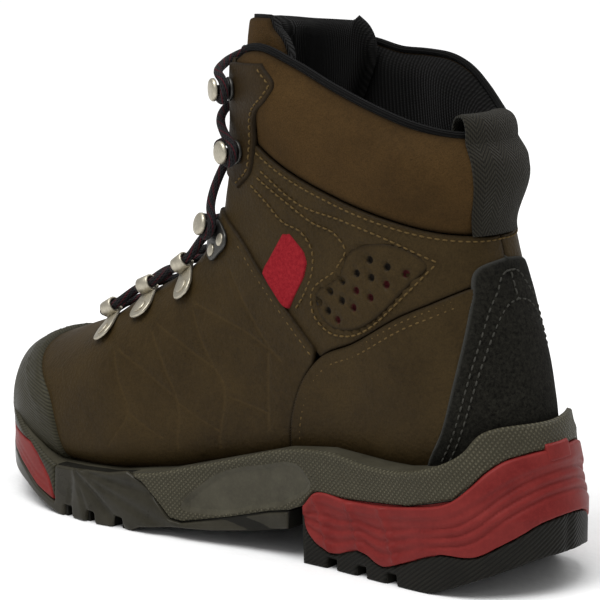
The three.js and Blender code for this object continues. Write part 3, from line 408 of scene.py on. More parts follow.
def panel(name, surface, outline, height, materials, step=1.8, edge=1.0, depth=1.6,
          sink=0.5, extra=None, paint=None, lines=()):
    """Closed sheet on a surface: outline is its pattern, height(p, far, ab) the lift of
    its face, with edges rounded over edge millimetres and a back depth below."""
    ring = np.asarray(outline, float)
    ring = anticlockwise(even(np.vstack([ring, ring[:1]]), RING_STEP)[:-1])
    n = len(ring)
    base = surface(ring, 0.0)
    step_in = inward_steps(surface, ring, base)
    closed_base = even(np.vstack([base, base[:1]]), 0.5)

    def far_from_edge(points):
        return reach(surface(points, 0.0), closed_base)

    ab = pattern_points(ring, step_in, far_from_edge, step, edge, extra)
    edges = [(i, (i + 1) % n) for i in range(n)]
    made = geometry.delaunay_2d_cdt([Vector(p) for p in ab], edges, [], 1, 1e-5)
    flat = np.array([list(v) for v in made[0]])
    faces = [f for f in made[2]]
    rim = np.full(n, -1)
    for new, olds in enumerate(made[3]):
        for old in olds:
            if old < n:
                rim[old] = new
    base = surface(flat, 0.0)
    far = reach(base, closed_base)
    far[rim[rim >= 0]] = 0
    lift = height(base, far, flat)
    k = np.clip(far / edge, 0, 1)
    lift = -sink + (lift + sink) * np.sqrt(1 - (1 - k) ** 2)
    front = surface(flat, lift)
    back = surface(flat, np.minimum(lift, 0.0) - depth)
    m = len(flat)
    loop = [r for r in rim if r >= 0]
    all_faces = [tuple(f) for f in faces]
    all_faces += [tuple(m + i for i in reversed(f)) for f in faces]
    count = len(all_faces)
    for i, j in zip(loop, loop[1:] + loop[:1]):
        if i != j:
            all_faces.append((j, i, m + i, m + j))
    normal = np.cross(front[faces[0][1]] - front[faces[0][0]],
                      front[faces[0][2]] - front[faces[0][0]])
    first = flat[[faces[0][0]]]
    out = surface(first, 1.0) - surface(first, 0.0)
    if np.dot(normal, out[0]) < 0:
        all_faces = [tuple(reversed(f)) for f in all_faces]
    index = np.zeros(len(all_faces), int)
    if paint is not None:
        centre = np.array([base[list(f)].mean(0) for f in faces])
        index[:len(faces)] = paint(centre)
        index[count:] = paint(base[loop].mean(0)[None])[0]
    obj = new_object(name, np.vstack([front, back]), all_faces, materials, index=index)
    # Edge weight: leather, nubuck and red suede darken with it as painted shade at the panel edges;
    # black suede and rubber lighten with it.
    wear_and_edge_shade = np.exp(-(far / (EDGE_SHADE_WIDTH * edge)) ** 2)
    set_attribute(obj, "edge", np.concatenate([wear_and_edge_shade, wear_and_edge_shade]))
    mark = np.zeros(m)
    for line in lines:
        mark = np.maximum(mark, np.exp(-(reach(base, line) / MARK_WIDTH) ** 2))
    set_attribute(obj, "mark", np.concatenate([mark, mark]))
    set_uv(obj, np.vstack([flat, flat]))
    return obj


# ---- materials ----------------------------------------------------------------
class Look:
    """A node material: a Principled shader with helpers for its procedural inputs."""

    def __init__(self, name, rough, metal=0.0, **sockets):
        self.material = bpy.data.materials.new(name)
        self.material.use_nodes = True
        self.tree = self.material.node_tree
        self.shader = self.tree.nodes["Principled BSDF"]
        self.shader.inputs["Roughness"].default_value = rough
        self.shader.inputs["Metallic"].default_value = metal
        for key, value in sockets.items():
            self.shader.inputs[key.replace("_", " ")].default_value = value
        place = self.tree.nodes.new("ShaderNodeTexCoord")
        self.object = place.outputs["Object"]
        self.pattern = place.outputs["UV"]

    def node(self, kind, **settings):
        made = self.tree.nodes.new(kind)
        for key, value in settings.items():
            setattr(made, key, value)
        return made

    def link(self, source, target):
        if hasattr(source, "is_linked"):
            self.tree.links.new(source, target)
        else:
            target.default_value = source

    def stretch(self, place, scale, turn=0.0):
        made = self.node("ShaderNodeMapping")
        made.inputs["Scale"].default_value = scale
        made.inputs["Rotation"].default_value = (0, 0, turn)
        self.link(place, made.inputs["Vector"])
        return made.outputs["Vector"]

    def noise(self, scale, detail=3.0, rough=0.5, place=None):
        made = self.node("ShaderNodeTexNoise")
        made.inputs["Scale"].default_value = scale
        made.inputs["Detail"].default_value = detail
        made.inputs["Roughness"].default_value = rough
        self.link(place or self.object, made.inputs["Vector"])
        return made.outputs["Fac"]

    def cells(self, scale, place=None, feature="F1"):
        made = self.node("ShaderNodeTexVoronoi", feature=feature)
        made.inputs["Scale"].default_value = scale
        self.link(place or self.object, made.inputs["Vector"])
        return made.outputs["Distance"]

    def waves(self, scale, place=None, distortion=0.0, direction="X"):
        made = self.node("ShaderNodeTexWave", wave_type="BANDS", bands_direction=direction)
        made.inputs["Scale"].default_value = scale
        made.inputs["Distortion"].default_value = distortion
        self.link(place or self.pattern, made.inputs["Vector"])
        return made.outputs["Fac"]

    def math(self, operation, a, b=0.0):
        made = self.node("ShaderNodeMath", operation=operation)
        self.link(a, made.inputs[0])
        self.link(b, made.inputs[1])
        return made.outputs["Value"]

    def range(self, value, low, high, to_low=0.0, to_high=1.0):
        made = self.node("ShaderNodeMapRange")
        self.link(value, made.inputs["Value"])
        made.inputs["From Min"].default_value = low
        made.inputs["From Max"].default_value = high
        made.inputs["To Min"].default_value = to_low
        made.inputs["To Max"].default_value = to_high
        return made.outputs["Result"]

    def mix(self, share, a, b):
        made = self.node("ShaderNodeMix", data_type="RGBA")
        self.link(share, made.inputs[0])
        for value, socket in ((a, made.inputs[6]), (b, made.inputs[7])):
            self.link(value if hasattr(value, "is_linked") else (*value, 1.0), socket)
        return made.outputs[2]

    def wash(self, share, strength, base, colour):
        """The base with colour laid over it, at most as strong as strength."""
        return self.mix(self.math("MULTIPLY", share, strength), base, colour)

    def attribute(self, name):
        return self.node("ShaderNodeAttribute", attribute_name=name).outputs["Fac"]

    def colour(self, value):
        self.link(value, self.shader.inputs["Base Color"])

    def roughness(self, value):
        self.link(value, self.shader.inputs["Roughness"])

    def bump(self, *layers):
        """Layers of (height, depth in metres), one on the other."""
        normal = None
        for height, depth in layers:
            made = self.node("ShaderNodeBump")
            made.inputs["Distance"].default_value = depth
            self.link(height, made.inputs["Height"])
            if normal is not None:
                self.link(normal, made.inputs["Normal"])
            normal = made.outputs["Normal"]
        self.link(normal, self.shader.inputs["Normal"])


def shade(colour, share):
    return tuple(share * c for c in colour)


def leather_look(name, dark, light, rough, edge, grain=700.0, nap=0.5):
    look = Look(name, rough, Sheen_Weight=nap * 0.02, Sheen_Roughness=0.6,
                Specular_IOR_Level=0.07)
    look.shader.inputs["Sheen Tint"].default_value = (*light, 1.0)
    cloud = look.range(look.noise(38, 5, 0.6), 0.32, 0.68)
    fleck = look.range(look.noise(420, 4, 0.7), 0.3, 0.75)
    base = look.mix(cloud, dark, light)
    base = look.wash(fleck, 0.35, base, shade(light, 1.5))
    pores = look.range(look.noise(1500, 3, 0.7), 0.56, 0.36)
    base = look.wash(pores, 0.4, base, shade(dark, 0.5))
    base = look.wash(look.attribute("mark"), 0.26, base, shade(light, 2.1))
    # Darker towards the panel edges: painted shade where the panels meet.
    base = look.wash(look.attribute("edge"), 0.75, base, edge)
    look.colour(base)
    look.roughness(look.range(cloud, 0, 1, rough - 0.07, rough + 0.06))
    look.bump((look.noise(90, 4, 0.55), 0.0006), (look.cells(grain), 0.00016),
              (look.noise(2600, 2, 0.6), 0.00007))
    return look.material


LEATHER = leather_look("waxed_leather", (0.0220, 0.0138, 0.0048), (0.038, 0.0244, 0.0088), 0.55,
                       (0.010, 0.0065, 0.003))
NUBUCK = leather_look("nubuck", (0.033, 0.0182, 0.0058), (0.054, 0.0300, 0.0100), 0.85,
                      (0.014, 0.0085, 0.0035), grain=1500.0, nap=1.0)
TAB_LEATHER = leather_look("tab_leather", (0.020, 0.0125, 0.0052), (0.032, 0.0205, 0.0088), 0.62,
                           (0.008, 0.0055, 0.003))


def suede_look(name, dark, light, edge, edge_share):
    look = Look(name, 0.92, Sheen_Weight=0.08, Sheen_Roughness=0.5, Specular_IOR_Level=0.06)
    look.shader.inputs["Sheen Tint"].default_value = (*light, 1.0)
    fuzz = look.range(look.noise(680, 5, 0.8), 0.36, 0.64)
    cloud = look.noise(60, 3, 0.5)
    base = look.mix(fuzz, dark, light)
    base = look.wash(cloud, 0.5, base, dark)
    # Edge colour over the edge weight: a darker painted shade on red suede, a lighter edge on black
    # suede.
    base = look.wash(look.attribute("edge"), edge_share, base, edge)
    look.colour(base)
    look.bump((look.noise(1500, 4, 0.7), 0.00035), (look.noise(260, 2, 0.5), 0.0003))
    return look.material


RED_SUEDE = suede_look("red_suede", (0.17, 0.006, 0.011), (0.30, 0.020, 0.025),
                       (0.12, 0.008, 0.012), 0.6)
BLACK_SUEDE = suede_look("black_suede", (0.0030, 0.0028, 0.0022), (0.021, 0.020, 0.0155),
                         (0.055, 0.055, 0.050), 0.8)


def knit_look(name, colour, scale, direction="Y", depth=0.0005):
    look = Look(name, 0.95, Sheen_Weight=0.03, Sheen_Roughness=0.5, Specular_IOR_Level=0.06)
    rib = look.waves(scale, look.pattern, direction=direction)
    cross = look.waves(scale * 1.7, look.pattern, direction="X" if direction == "Y" else "Y")
    weave = look.math("MULTIPLY", rib, look.range(cross, 0, 1, 0.55, 1.0))
    # Darker where the weave is low: painted shade in the knit's grooves.
    look.colour(look.mix(weave, shade(colour, 0.35), colour))
    look.bump((weave, depth), (look.noise(900, 2, 0.5), 0.0001))
    return look.material


KNIT = knit_look("lining_knit", (0.008, 0.0078, 0.0074), 0.22)
PIPING = knit_look("piping_knit", (0.007, 0.0068, 0.0064), 0.35, "X")
TONGUE_KNIT = knit_look("tongue_mesh", (0.007, 0.0068, 0.0064), 0.30)


def webbing_look():
    """Herringbone webbing: stripes that turn at every column."""
    look = Look("pull_loop_webbing", 0.88, Sheen_Weight=0.04, Specular_IOR_Level=0.1)
    parts = look.node("ShaderNodeSeparateXYZ")
    look.link(look.pattern, parts.inputs[0])
    across, along = parts.outputs["X"], parts.outputs["Y"]
    zigzag = look.math("PINGPONG", across, 3.4)
    turn = look.math("ADD", look.math("MULTIPLY", zigzag, 1.6), along)
    twill = look.math("SINE", look.math("MULTIPLY", turn, 3.1))
    twill = look.range(twill, -1, 1)
    thread = look.range(look.math("SINE", look.math("MULTIPLY", across, 9.0)), -1, 1)
    height = look.math("ADD", look.math("MULTIPLY", twill, 0.7),
                       look.math("MULTIPLY", thread, 0.3))
    # Darker where the twill is low: painted shade between the ridges.
    look.colour(look.mix(height, (0.005, 0.0045, 0.0032), (0.027, 0.0245, 0.0175)))
    look.bump((height, 0.0004))
    return look.material


WEBBING = webbing_look()


def rubber_look(name, dark, light, rough, texture=None, depth=0.0):
    look = Look(name, rough, Specular_IOR_Level=0.11)
    cloud = look.range(look.noise(70, 4, 0.6), 0.3, 0.7)
    dust = look.range(look.noise(700, 3, 0.7), 0.45, 0.8)
    base = look.mix(cloud, dark, light)
    base = look.wash(dust, 0.25, base, shade(light, 1.6))
    # Lighter towards the panel edges.
    base = look.wash(look.attribute("edge"), 0.3, base, shade(light, 1.5))
    layers = [(look.noise(500, 3, 0.5), 0.00006)]
    if texture == "dots":
        sines = []
        for turn in (math.pi / 4, -math.pi / 4):
            place = look.stretch(look.pattern, (1, 1, 1), turn)
            sines.append(look.waves(0.20, place))
        dots = look.math("MULTIPLY", *sines)
        # Darker where the dots are low: painted shade in their hollows.
        base = look.mix(look.range(dots, 0.0, 0.7), shade(dark, 0.6), base)
        layers.insert(0, (dots, depth))
    elif texture == "diagonal":
        lines = look.waves(0.20, look.stretch(look.pattern, (1, 1, 1), 0.9))
        # Darker where the lines are low: painted shade in the grooves.
        base = look.mix(look.range(lines, 0.0, 0.6), shade(dark, 0.7), base)
        layers.insert(0, (lines, depth))
    look.colour(base)
    look.roughness(look.range(cloud, 0, 1, rough - 0.08, rough + 0.08))
    look.bump(*layers)
    return look.material


OUTSOLE = rubber_look("outsole_rubber", (0.0065, 0.006, 0.0045), (0.0125, 0.0118, 0.009), 0.55,
                      "diagonal", 0.00030)
LUG_RUBBER = rubber_look("lug_rubber", (0.0065, 0.006, 0.0045), (0.0125, 0.0118, 0.009), 0.6)
WING = rubber_look("wing_rubber", (0.019, 0.0172, 0.0118), (0.033, 0.030, 0.0215), 0.32)
RAND = rubber_look("rand_rubber", (0.024, 0.0215, 0.0125), (0.038, 0.0350, 0.0220), 0.5,
                   "diagonal", 0.00012)
FRAME_DOTS = rubber_look("frame_dotted", (0.062, 0.0560, 0.0360), (0.100, 0.091, 0.061), 0.55,
                         "dots", 0.0006)
# Smooth frame rubber, darker than the dotted band: its smooth finish is real, its darker tone is
# painted shade for the scooped facet.
FRAME_SMOOTH_SHADED = rubber_look("frame_smooth_painted_shade", (0.038, 0.0345, 0.0240), (0.062, 0.0570, 0.0400), 0.40)
WEDGE = rubber_look("wedge_foam", (0.118, 0.0105, 0.0098), (0.172, 0.020, 0.0175), 0.5)


def metal_look(name, colour, rough):
    look = Look(name, rough, 1.0)
    # Random wear tone of the plating.
    wear_and_edge_shade = look.range(look.noise(900, 4, 0.6), 0.35, 0.7)
    look.colour(look.mix(wear_and_edge_shade, shade(colour, 0.8), colour))
    look.roughness(look.range(wear_and_edge_shade, 0, 1, rough + 0.08, rough - 0.05))
    look.bump((look.noise(1400, 3, 0.6), 0.00005))
    return look.material


CHAMPAGNE = metal_look("champagne_plate", (0.50, 0.46, 0.37), 0.44)
DARK_METAL = metal_look("dark_plate", (0.09, 0.088, 0.082), 0.42)


def lace_look():
    """Round braid: two crossing sets of strands, with a few maroon ones."""
    look = Look("braided_lace", 0.85, Sheen_Weight=0.04, Specular_IOR_Level=0.1)
    parts = look.node("ShaderNodeSeparateXYZ")
    look.link(look.pattern, parts.inputs[0])
    around, along = parts.outputs["X"], parts.outputs["Y"]
    strands = []
    for sign in (1.0, -1.0):
        turn = look.math("ADD", look.math("MULTIPLY", around, 6.0 * sign),
                         look.math("MULTIPLY", along, 2.6))
        strands.append(look.range(look.math("SINE", turn), -1, 1))
    height = look.math("MAXIMUM", *strands)
    fleck = look.math("SINE", look.math("ADD", look.math("MULTIPLY", around, 2.0),
                                        look.math("MULTIPLY", along, 0.87)))
    fleck = look.range(fleck, 0.72, 0.80)
    # Darker where the strands are low: painted shade between the strands. The maroon flecks are the
    # braid's own colour.
    base = look.mix(height, (0.003, 0.003, 0.003), (0.016, 0.015, 0.016))
    look.colour(look.wash(fleck, height, base, (0.06, 0.006, 0.010)))
    look.bump((height, 0.0005))
    return look.material


LACE = lace_look()


def thread_look(name, colour):
    look = Look(name, 0.8, Specular_IOR_Level=0.1)
    twist = look.noise(2500, 2, 0.5)
    look.colour(look.mix(twist, shade(colour, 0.55), colour))
    look.bump((twist, 0.0001))
    return look.material


OCHRE = thread_look("ochre_thread", (0.12, 0.078, 0.028))
GREY_THREAD = thread_look("grey_thread", (0.050, 0.049, 0.041))


def plain_look(name, dark, light, rough, scale=300.0, depth=0.0003):
    look = Look(name, rough, Specular_IOR_Level=0.3)
    spots = look.range(look.noise(scale, 4, 0.65), 0.3, 0.7)
    look.colour(look.mix(spots, dark, light))
    look.bump((spots, depth))
    return look.material


BOARD = plain_look("fibre_board", (0.17, 0.13, 0.07), (0.26, 0.20, 0.12), 0.9)
FOOTBED = plain_look("footbed_top", (0.012, 0.012, 0.012), (0.030, 0.030, 0.029), 0.95, 900)
SHANK = plain_look("nylon_shank", (0.12, 0.125, 0.13), (0.18, 0.19, 0.20), 0.5)
HOLE_DARK = plain_look("hole_dark", (0.008, 0.006, 0.004), (0.014, 0.010, 0.007), 0.95)
HOLE_RED = plain_look("hole_red", (0.030, 0.003, 0.004), (0.075, 0.006, 0.009), 0.95)
SIDES = (("medial", 1), ("lateral", -1))


def shifted(line, d):
    """A line moved sideways by d, to the left of its direction."""
    p = np.asarray(line, float)
    way = unit(np.gradient(p, axis=0))
    return p + d * np.stack([-way[:, 1], way[:, 0]], 1)


def ripple(p, size=0.2):
    """Gentle unevenness of a worn leather surface."""
    x, y, z = p[:, 0], p[:, 1], p[:, 2]
    return size * (np.sin(y / 9 + 1.3 * np.sin(z / 11)) * np.sin(z / 8 + x / 17)
                   + 0.5 * np.sin(y / 5.1 - z / 6.3 + x / 9))


# ---- stitching ----------------------------------------------------------------
def stitch_mesh(rows, surface, length=2.3, pitch=3.1, radius=0.42, lift=0.12):
    """Vertices and faces of small thread capsules along flat-pattern rows."""
    stations = np.array([-0.5, -0.34, 0.0, 0.34, 0.5]) * length
    girth = np.array([0.35, 0.85, 1.0, 0.85, 0.35]) * radius
    drop = np.array([-0.55, -0.1, 0.08, -0.1, -0.55])
    sides = 6
    verts, faces = [], []
    for row in rows:
        base = surface(row, lift)
        out = surface(row, lift + 1) - base
        run = run_along(base)
        for at in np.arange(pitch / 2, run[-1] - pitch / 4, pitch):
            c = np.array([np.interp(at, run, base[:, k]) for k in range(3)])
            ahead = np.array([np.interp(at + 0.6, run, base[:, k]) for k in range(3)])
            behind = np.array([np.interp(at - 0.6, run, base[:, k]) for k in range(3)])
            z = unit(np.array([np.interp(at, run, out[:, k]) for k in range(3)]))
            x = unit(ahead - behind)
            y = unit(np.cross(z, x))
            start = len(verts)
            for s, g, h in zip(stations, girth, drop):
                for k in range(sides):
                    w = 2 * math.pi * k / sides
                    verts.append(c + x * s + y * g * math.cos(w) + z * (h + g * math.sin(w)))
            faces += ring_quads(start, len(stations), sides)
            faces.append(tuple(start + k for k in reversed(range(sides))))
            end = start + (len(stations) - 1) * sides
            faces.append(tuple(end + k for k in range(sides)))
    return verts, faces


def sew(name, rows, surface, material, slot_name, **sizes):
    verts, faces = stitch_mesh(rows, surface, **sizes)
    obj = new_object(name, verts, faces, [material])
    return hang(obj, "boot", slot_name)


# ---- upper: outlines ------------------------------------------------------------
quarter_line = spline(QUARTER_SEAM[1:], 1.0)
vamp_line = spline(VAMP_EDGE, 1.0)
seam_line = spline(COLLAR_SEAM[1:], 1.0)
counter_line = spline(COUNTER_EDGE, 1.0)
rand_line = spline(RAND_EDGE, 1.0)
BACK = math.pi * A_SCALE
SOLE_TUCK = 4.0                 # how far the panels reach down behind the sole
COUNTER_TOP = 131.3
FIRST_BACK_STATION = 11         # from here up the last's back edge rises steadily


def low_line(y0, y1, drop=SOLE_TUCK):
    """Side-view line just below the top of the sole."""
    y = np.arange(y0, y1, 2.0 if y1 > y0 else -2.0)
    return np.stack([y, feather(y) - drop], 1)


def above_sole(line, margin):
    """The part of a side-view line that is above the sole's top edge less a margin."""
    return line[line[:, 1] > feather(line[:, 0]) - margin]


def back_point(z, side=1):
    """Flat-pattern point on the back edge of the boot at height z."""
    back_heights = LAST[FIRST_BACK_STATION:, 3]
    t = np.interp(z, back_heights, np.arange(FIRST_BACK_STATION, len(LAST)))
    return np.array([[t * T_SCALE, BACK * side]])


def vamp_outline():
    halves = []
    for side in (1, -1):
        throat = throat_edge(side)
        p, _ = on_last(throat)
        below = p[:, 2] < np.interp(p[:, 1], vamp_line[:, 0], vamp_line[:, 1])
        throat, y_start = throat[below], p[below][-1, 1]
        edge = vamp_line[(vamp_line[:, 0] > y_start + 1) & (vamp_line[:, 0] < 50)]
        seam = above_sole(quarter_line[quarter_line[:, 0] < 49], SOLE_TUCK)
        low = low_line(seam[-1, 0], -92)
        toe = shifted(spline(RAND_EDGE, 2.0), -8.0)[::-1]
        toe = above_sole(toe, 2)
        toe = toe[toe[:, 1] < 68]
        side_part = on_side(np.vstack([edge, seam, low, toe]), side)
        halves.append(np.vstack([throat, side_part]))
    tip = halves[0][-1].copy()
    tip[1] = 0.0
    return np.vstack([halves[0], tip[None], halves[1][::-1]])


def ankle_outline(side):
    throat = throat_edge(side)
    p, _ = on_last(throat)
    keep = (p[:, 2] > np.interp(p[:, 1], vamp_line[:, 0], vamp_line[:, 1]) + 0.3) \
        & (p[:, 2] < rim_height(p) - 0.5)
    throat = throat[keep]
    edge = vamp_line[(vamp_line[:, 0] > p[keep][0, 1] + 1.5) & (vamp_line[:, 0] < 51)]
    edge = shifted(edge, -0.4)
    seam = quarter_line[quarter_line[:, 0] > 51.5][::-1] + [0, 0.4]
    rear = np.vstack([back_point(122.5, side), back_point(139.0, side)])
    top = seam_line[(seam_line[:, 0] > 13) & (seam_line[:, 0] < 113)][::-1] - [0, 0.4]
    corner = spline([[10.5, 170], [9.5, 180], [4, 191], [-4, 202.5]], 1.0)
    rim = np.array([[y, (collar_top if side > 0 else collar_top_outer)(y) - 0.4]
                    for y in np.arange(-4.5, p[keep][-1, 1] + 1, -1.0)])
    parts = [on_side(np.vstack([edge, seam]), side), rear, on_side(np.vstack([top, corner]), side)]
    if len(rim):
        parts.append(on_side(rim, side))
    return np.vstack([*parts, throat[::-1]])


def quarter_outline(side):
    seam = above_sole(quarter_line, SOLE_TUCK)[::-1]
    under = above_sole(shifted(counter_line, 8.0), SOLE_TUCK)
    under = under[under[:, 1] < 124]
    low = low_line(under[-1, 0], seam[0, 0])
    return on_side(np.vstack([seam, [[120, 123.5]], under, low]), side)


def collar_outline():
    seam = seam_line[(seam_line[:, 0] > 12.5) & (seam_line[:, 0] < 114)]
    corner = spline([[-3.6, 202.2], [4.4, 191], [10, 180], [11, 170.5]], 1.0)
    low = [on_side(np.vstack([corner, seam]), s, "back") for s in (1, -1)]
    y = np.arange(-3, 107.5, 1.0)
    high = [on_side(np.stack([y, line(y)], 1), s, "back")
            for s, line in ((1, collar_top), (-1, collar_top_outer))]
    back_low, back_high = back_point(138.5), back_point(178.3)
    return np.vstack([low[0], back_low, low[1][::-1], high[1], back_high, high[0][::-1]])


def counter_outline():
    low = low_line(counter_line[-1, 0] + 3, 140)
    line = above_sole(counter_line, SOLE_TUCK)
    sides = [on_side(np.vstack([low[::-1], line[::-1]]), s, "back") for s in (1, -1)]
    return np.vstack([back_point(62.0), sides[0], back_point(COUNTER_TOP), sides[1][::-1]])


def world_line(line, wrap="front", d=0.0):
    """The same side-view line as space points on both sides of the boot."""
    both = [upper(on_side(line, s, wrap), d) for s in (1, -1)]
    return np.vstack([even(b, 0.8) for b in both])


SEAMS = {
    "vamp": world_line(vamp_line[(vamp_line[:, 0] > -16) & (vamp_line[:, 0] < 51)]),
    "quarter": world_line(quarter_line[quarter_line[:, 0] < 120]),
    "collar": world_line(seam_line[(seam_line[:, 0] > 8) & (seam_line[:, 0] < 118)]),
    "rand": world_line(rand_line[rand_line[:, 1] < 73]),
}


def near(p, seam, width):
    return np.exp(-(reach(p, SEAMS[seam]) / width) ** 2)


def dip(p, rows, depth=0.35, width=0.9):
    """Sunken line along stitch rows given as space points."""
    return depth * np.exp(-(reach(p, rows) / width) ** 2)


# ---- upper: stitch rows ----------------------------------------------------------
def both_sides(line, wrap="front"):
    return [on_side(line, s, wrap) for s in (1, -1)]


EYESTAY = [[-9, 151], [4, 149], [13, 157], [15, 168], [17, 180], [27, 189], [30.5, 194], [22, 202.8],
           [7, 203]]
ACCENT = [[32, 134.5], [36, 135], [44, 128.5], [46, 124], [44.5, 118], [35.5, 103.5], [31, 105],
          [20.5, 116.5], [21.5, 119]]
PATCH = [[101, 129], [95, 121], [66, 99], [60, 99], [51, 106], [50, 111], [62, 121], [66, 130],
         [82, 136], [96, 133]]
VENT_HOLES = [(77, 129), (85, 127), (93, 125), (71, 123), (78, 122), (85, 120), (64, 119),
              (71, 116), (78, 114), (58, 114), (64, 111), (70, 109), (52.5, 109), (57, 106),
              (62, 103)]
EMBOSSED = [
    [[-56, 74], [-50, 60], [-46, 52], [-56, 34]], [[-53, 75], [-36, 67], [-22, 59]],
    [[-37, 84], [-27, 69], [-21, 57], [-22, 36]], [[-35, 88], [-16, 80], [1, 70], [-1, 40]],
    [[-17, 96], [-8, 81], [1, 69]], [[-15, 99], [13, 91], [31, 83]],
    [[2, 115], [13, 101], [24, 88], [31, 82]], [[-46, 50], [-38, 45], [-29, 41]],
    [[-21, 57], [-11, 52], [-1, 48]], [[5, 63], [24, 59]], [[25, 84], [25, 52]],
]
rows_ochre = []
vamp_row = shifted(vamp_line[(vamp_line[:, 0] > -9) & (vamp_line[:, 0] < 50)], -3.4)
rows_ochre += both_sides(vamp_row)
for gap in (2.2, 4.9):
    row = shifted(quarter_line, gap)
    row = above_sole(row[row[:, 0] < 118 - gap], -1)
    rows_ochre += both_sides(row)
collar_row = shifted(seam_line[(seam_line[:, 0] > 13) & (seam_line[:, 0] < 117)], -2.6)
rows_ochre += both_sides(collar_row)
second_row = spline([[18, 158.5], [41, 147], [64, 143], [88, 136.5], [104, 130]], 1.0)
third_row = spline([[16, 155.5], [34, 147], [48, 140.5], [60, 137], [65, 131.5], [61, 124]], 1.0)
accent_row = spline([[12, 152], [22, 146], [32, 139], [42, 136], [48, 129], [48.5, 122],
                     [44, 111], [38.5, 103]], 1.0)
patch_row = spline([[103.5, 129], [95, 118.5], [66, 96.8], [59, 96.8], [48.5, 105], [48, 111.5],
                    [60, 122.5]], 1.0)
for row in (second_row, third_row, accent_row, patch_row):
    rows_ochre += both_sides(row)
tab_ring = spline([*EYESTAY[1:-1]], 1.0)
tab_row = shifted(tab_ring, 2.4)
rows_tab = both_sides(tab_row)
counter_rows = []
for gap in (5.0, 7.6):
    row = shifted(counter_line, gap)[::-1]
    row = above_sole(row[row[:, 1] < COUNTER_TOP - gap], -1)
    counter_rows.append(row)


def row_points(rows):
    return np.vstack([even(upper(r, 0.0), 0.7) for r in rows])


ochre_points = row_points(rows_ochre)

# ---- upper: panels -----------------------------------------------------------------
VENT_DEPTH = 1.9                # the leather under the vent patch makes room for its pits
GROOVE_DEPTH, GROOVE_WIDTH = 0.25, 0.45     # of the vamp's embossed lines
embossed_rows = []
for line in EMBOSSED:
    embossed_rows += both_sides(spline(line, 1.0))
embossed_points = [even(upper(r, 0.0), 0.6) for r in embossed_rows]
embossed_all = np.vstack(embossed_points)
embossed_extra = np.vstack([np.vstack([shifted(even(row, 0.9), k) for k in (-0.55, 0, 0.55)])
                            for row in embossed_rows])


def vamp_height(p, far, ab):
    h = 0.15 + 0.95 * near(p, "vamp", 9) - 0.5 * near(p, "quarter", 5) + ripple(p)
    return h - dip(p, ochre_points) - dip(p, embossed_all, GROOVE_DEPTH, GROOVE_WIDTH)


vamp = panel("vamp_leather", upper, vamp_outline(), vamp_height, [LEATHER], step=2.0, edge=1.1,
             extra=embossed_extra, lines=embossed_points)
hang(vamp, "boot", "leather", "vamp")


def ankle_height(p, far, ab):
    h = -0.75 * near(p, "vamp", 4.5) - 0.7 * near(p, "quarter", 4.5) + 0.35 + ripple(p, 0.15)
    under = inside(p[:, 1:], spline(PATCH, 1.0, True))
    deep = smoothstep(reach(p[:, 1:], spline(PATCH, 0.7, True)), 0.8, 2.5)
    h = h - VENT_DEPTH * under * deep
    return h - dip(p, ochre_points)


def quarter_height(p, far, ab):
    h = 0.25 + 0.9 * near(p, "quarter", 9) + ripple(p)
    return h - dip(p, ochre_points)


for label, side in SIDES:
    ankle = panel(f"ankle_leather_{label}", upper, ankle_outline(side), ankle_height, [LEATHER],
                  step=1.9, edge=1.0)
    hang(ankle, "boot", "leather", f"ankle_panel_{label}", f"eyestay_facing_{label}")
    quarter = panel(f"heel_quarter_leather_{label}", upper, quarter_outline(side),
                    quarter_height, [LEATHER], step=2.0, edge=1.1)
    hang(quarter, "boot", "leather", f"heel_quarter_{label}")


def collar_height(p, far, ab):
    return -0.9 + 1.5 * smoothstep(far, 0.5, 14) + 1.5 * ripple(p, 0.22)


collar = panel("collar_nubuck", upper, collar_outline(), collar_height, [NUBUCK], step=2.1,
               edge=2.0, sink=1.6)
hang(collar, "boot", "nubuck", "collar_shell")


# ---- overlays ------------------------------------------------------------------------
def grid_ring(points, radius, count):
    out = []
    for y, z in points:
        for r in (radius * 0.9, radius * 1.05):
            w = 2 * math.pi * np.arange(count) / count
            out.append(np.stack([y + r * np.cos(w), z + r * np.sin(w)], 1))
        out.append(np.array([[y, z]]))
    return np.vstack(out)


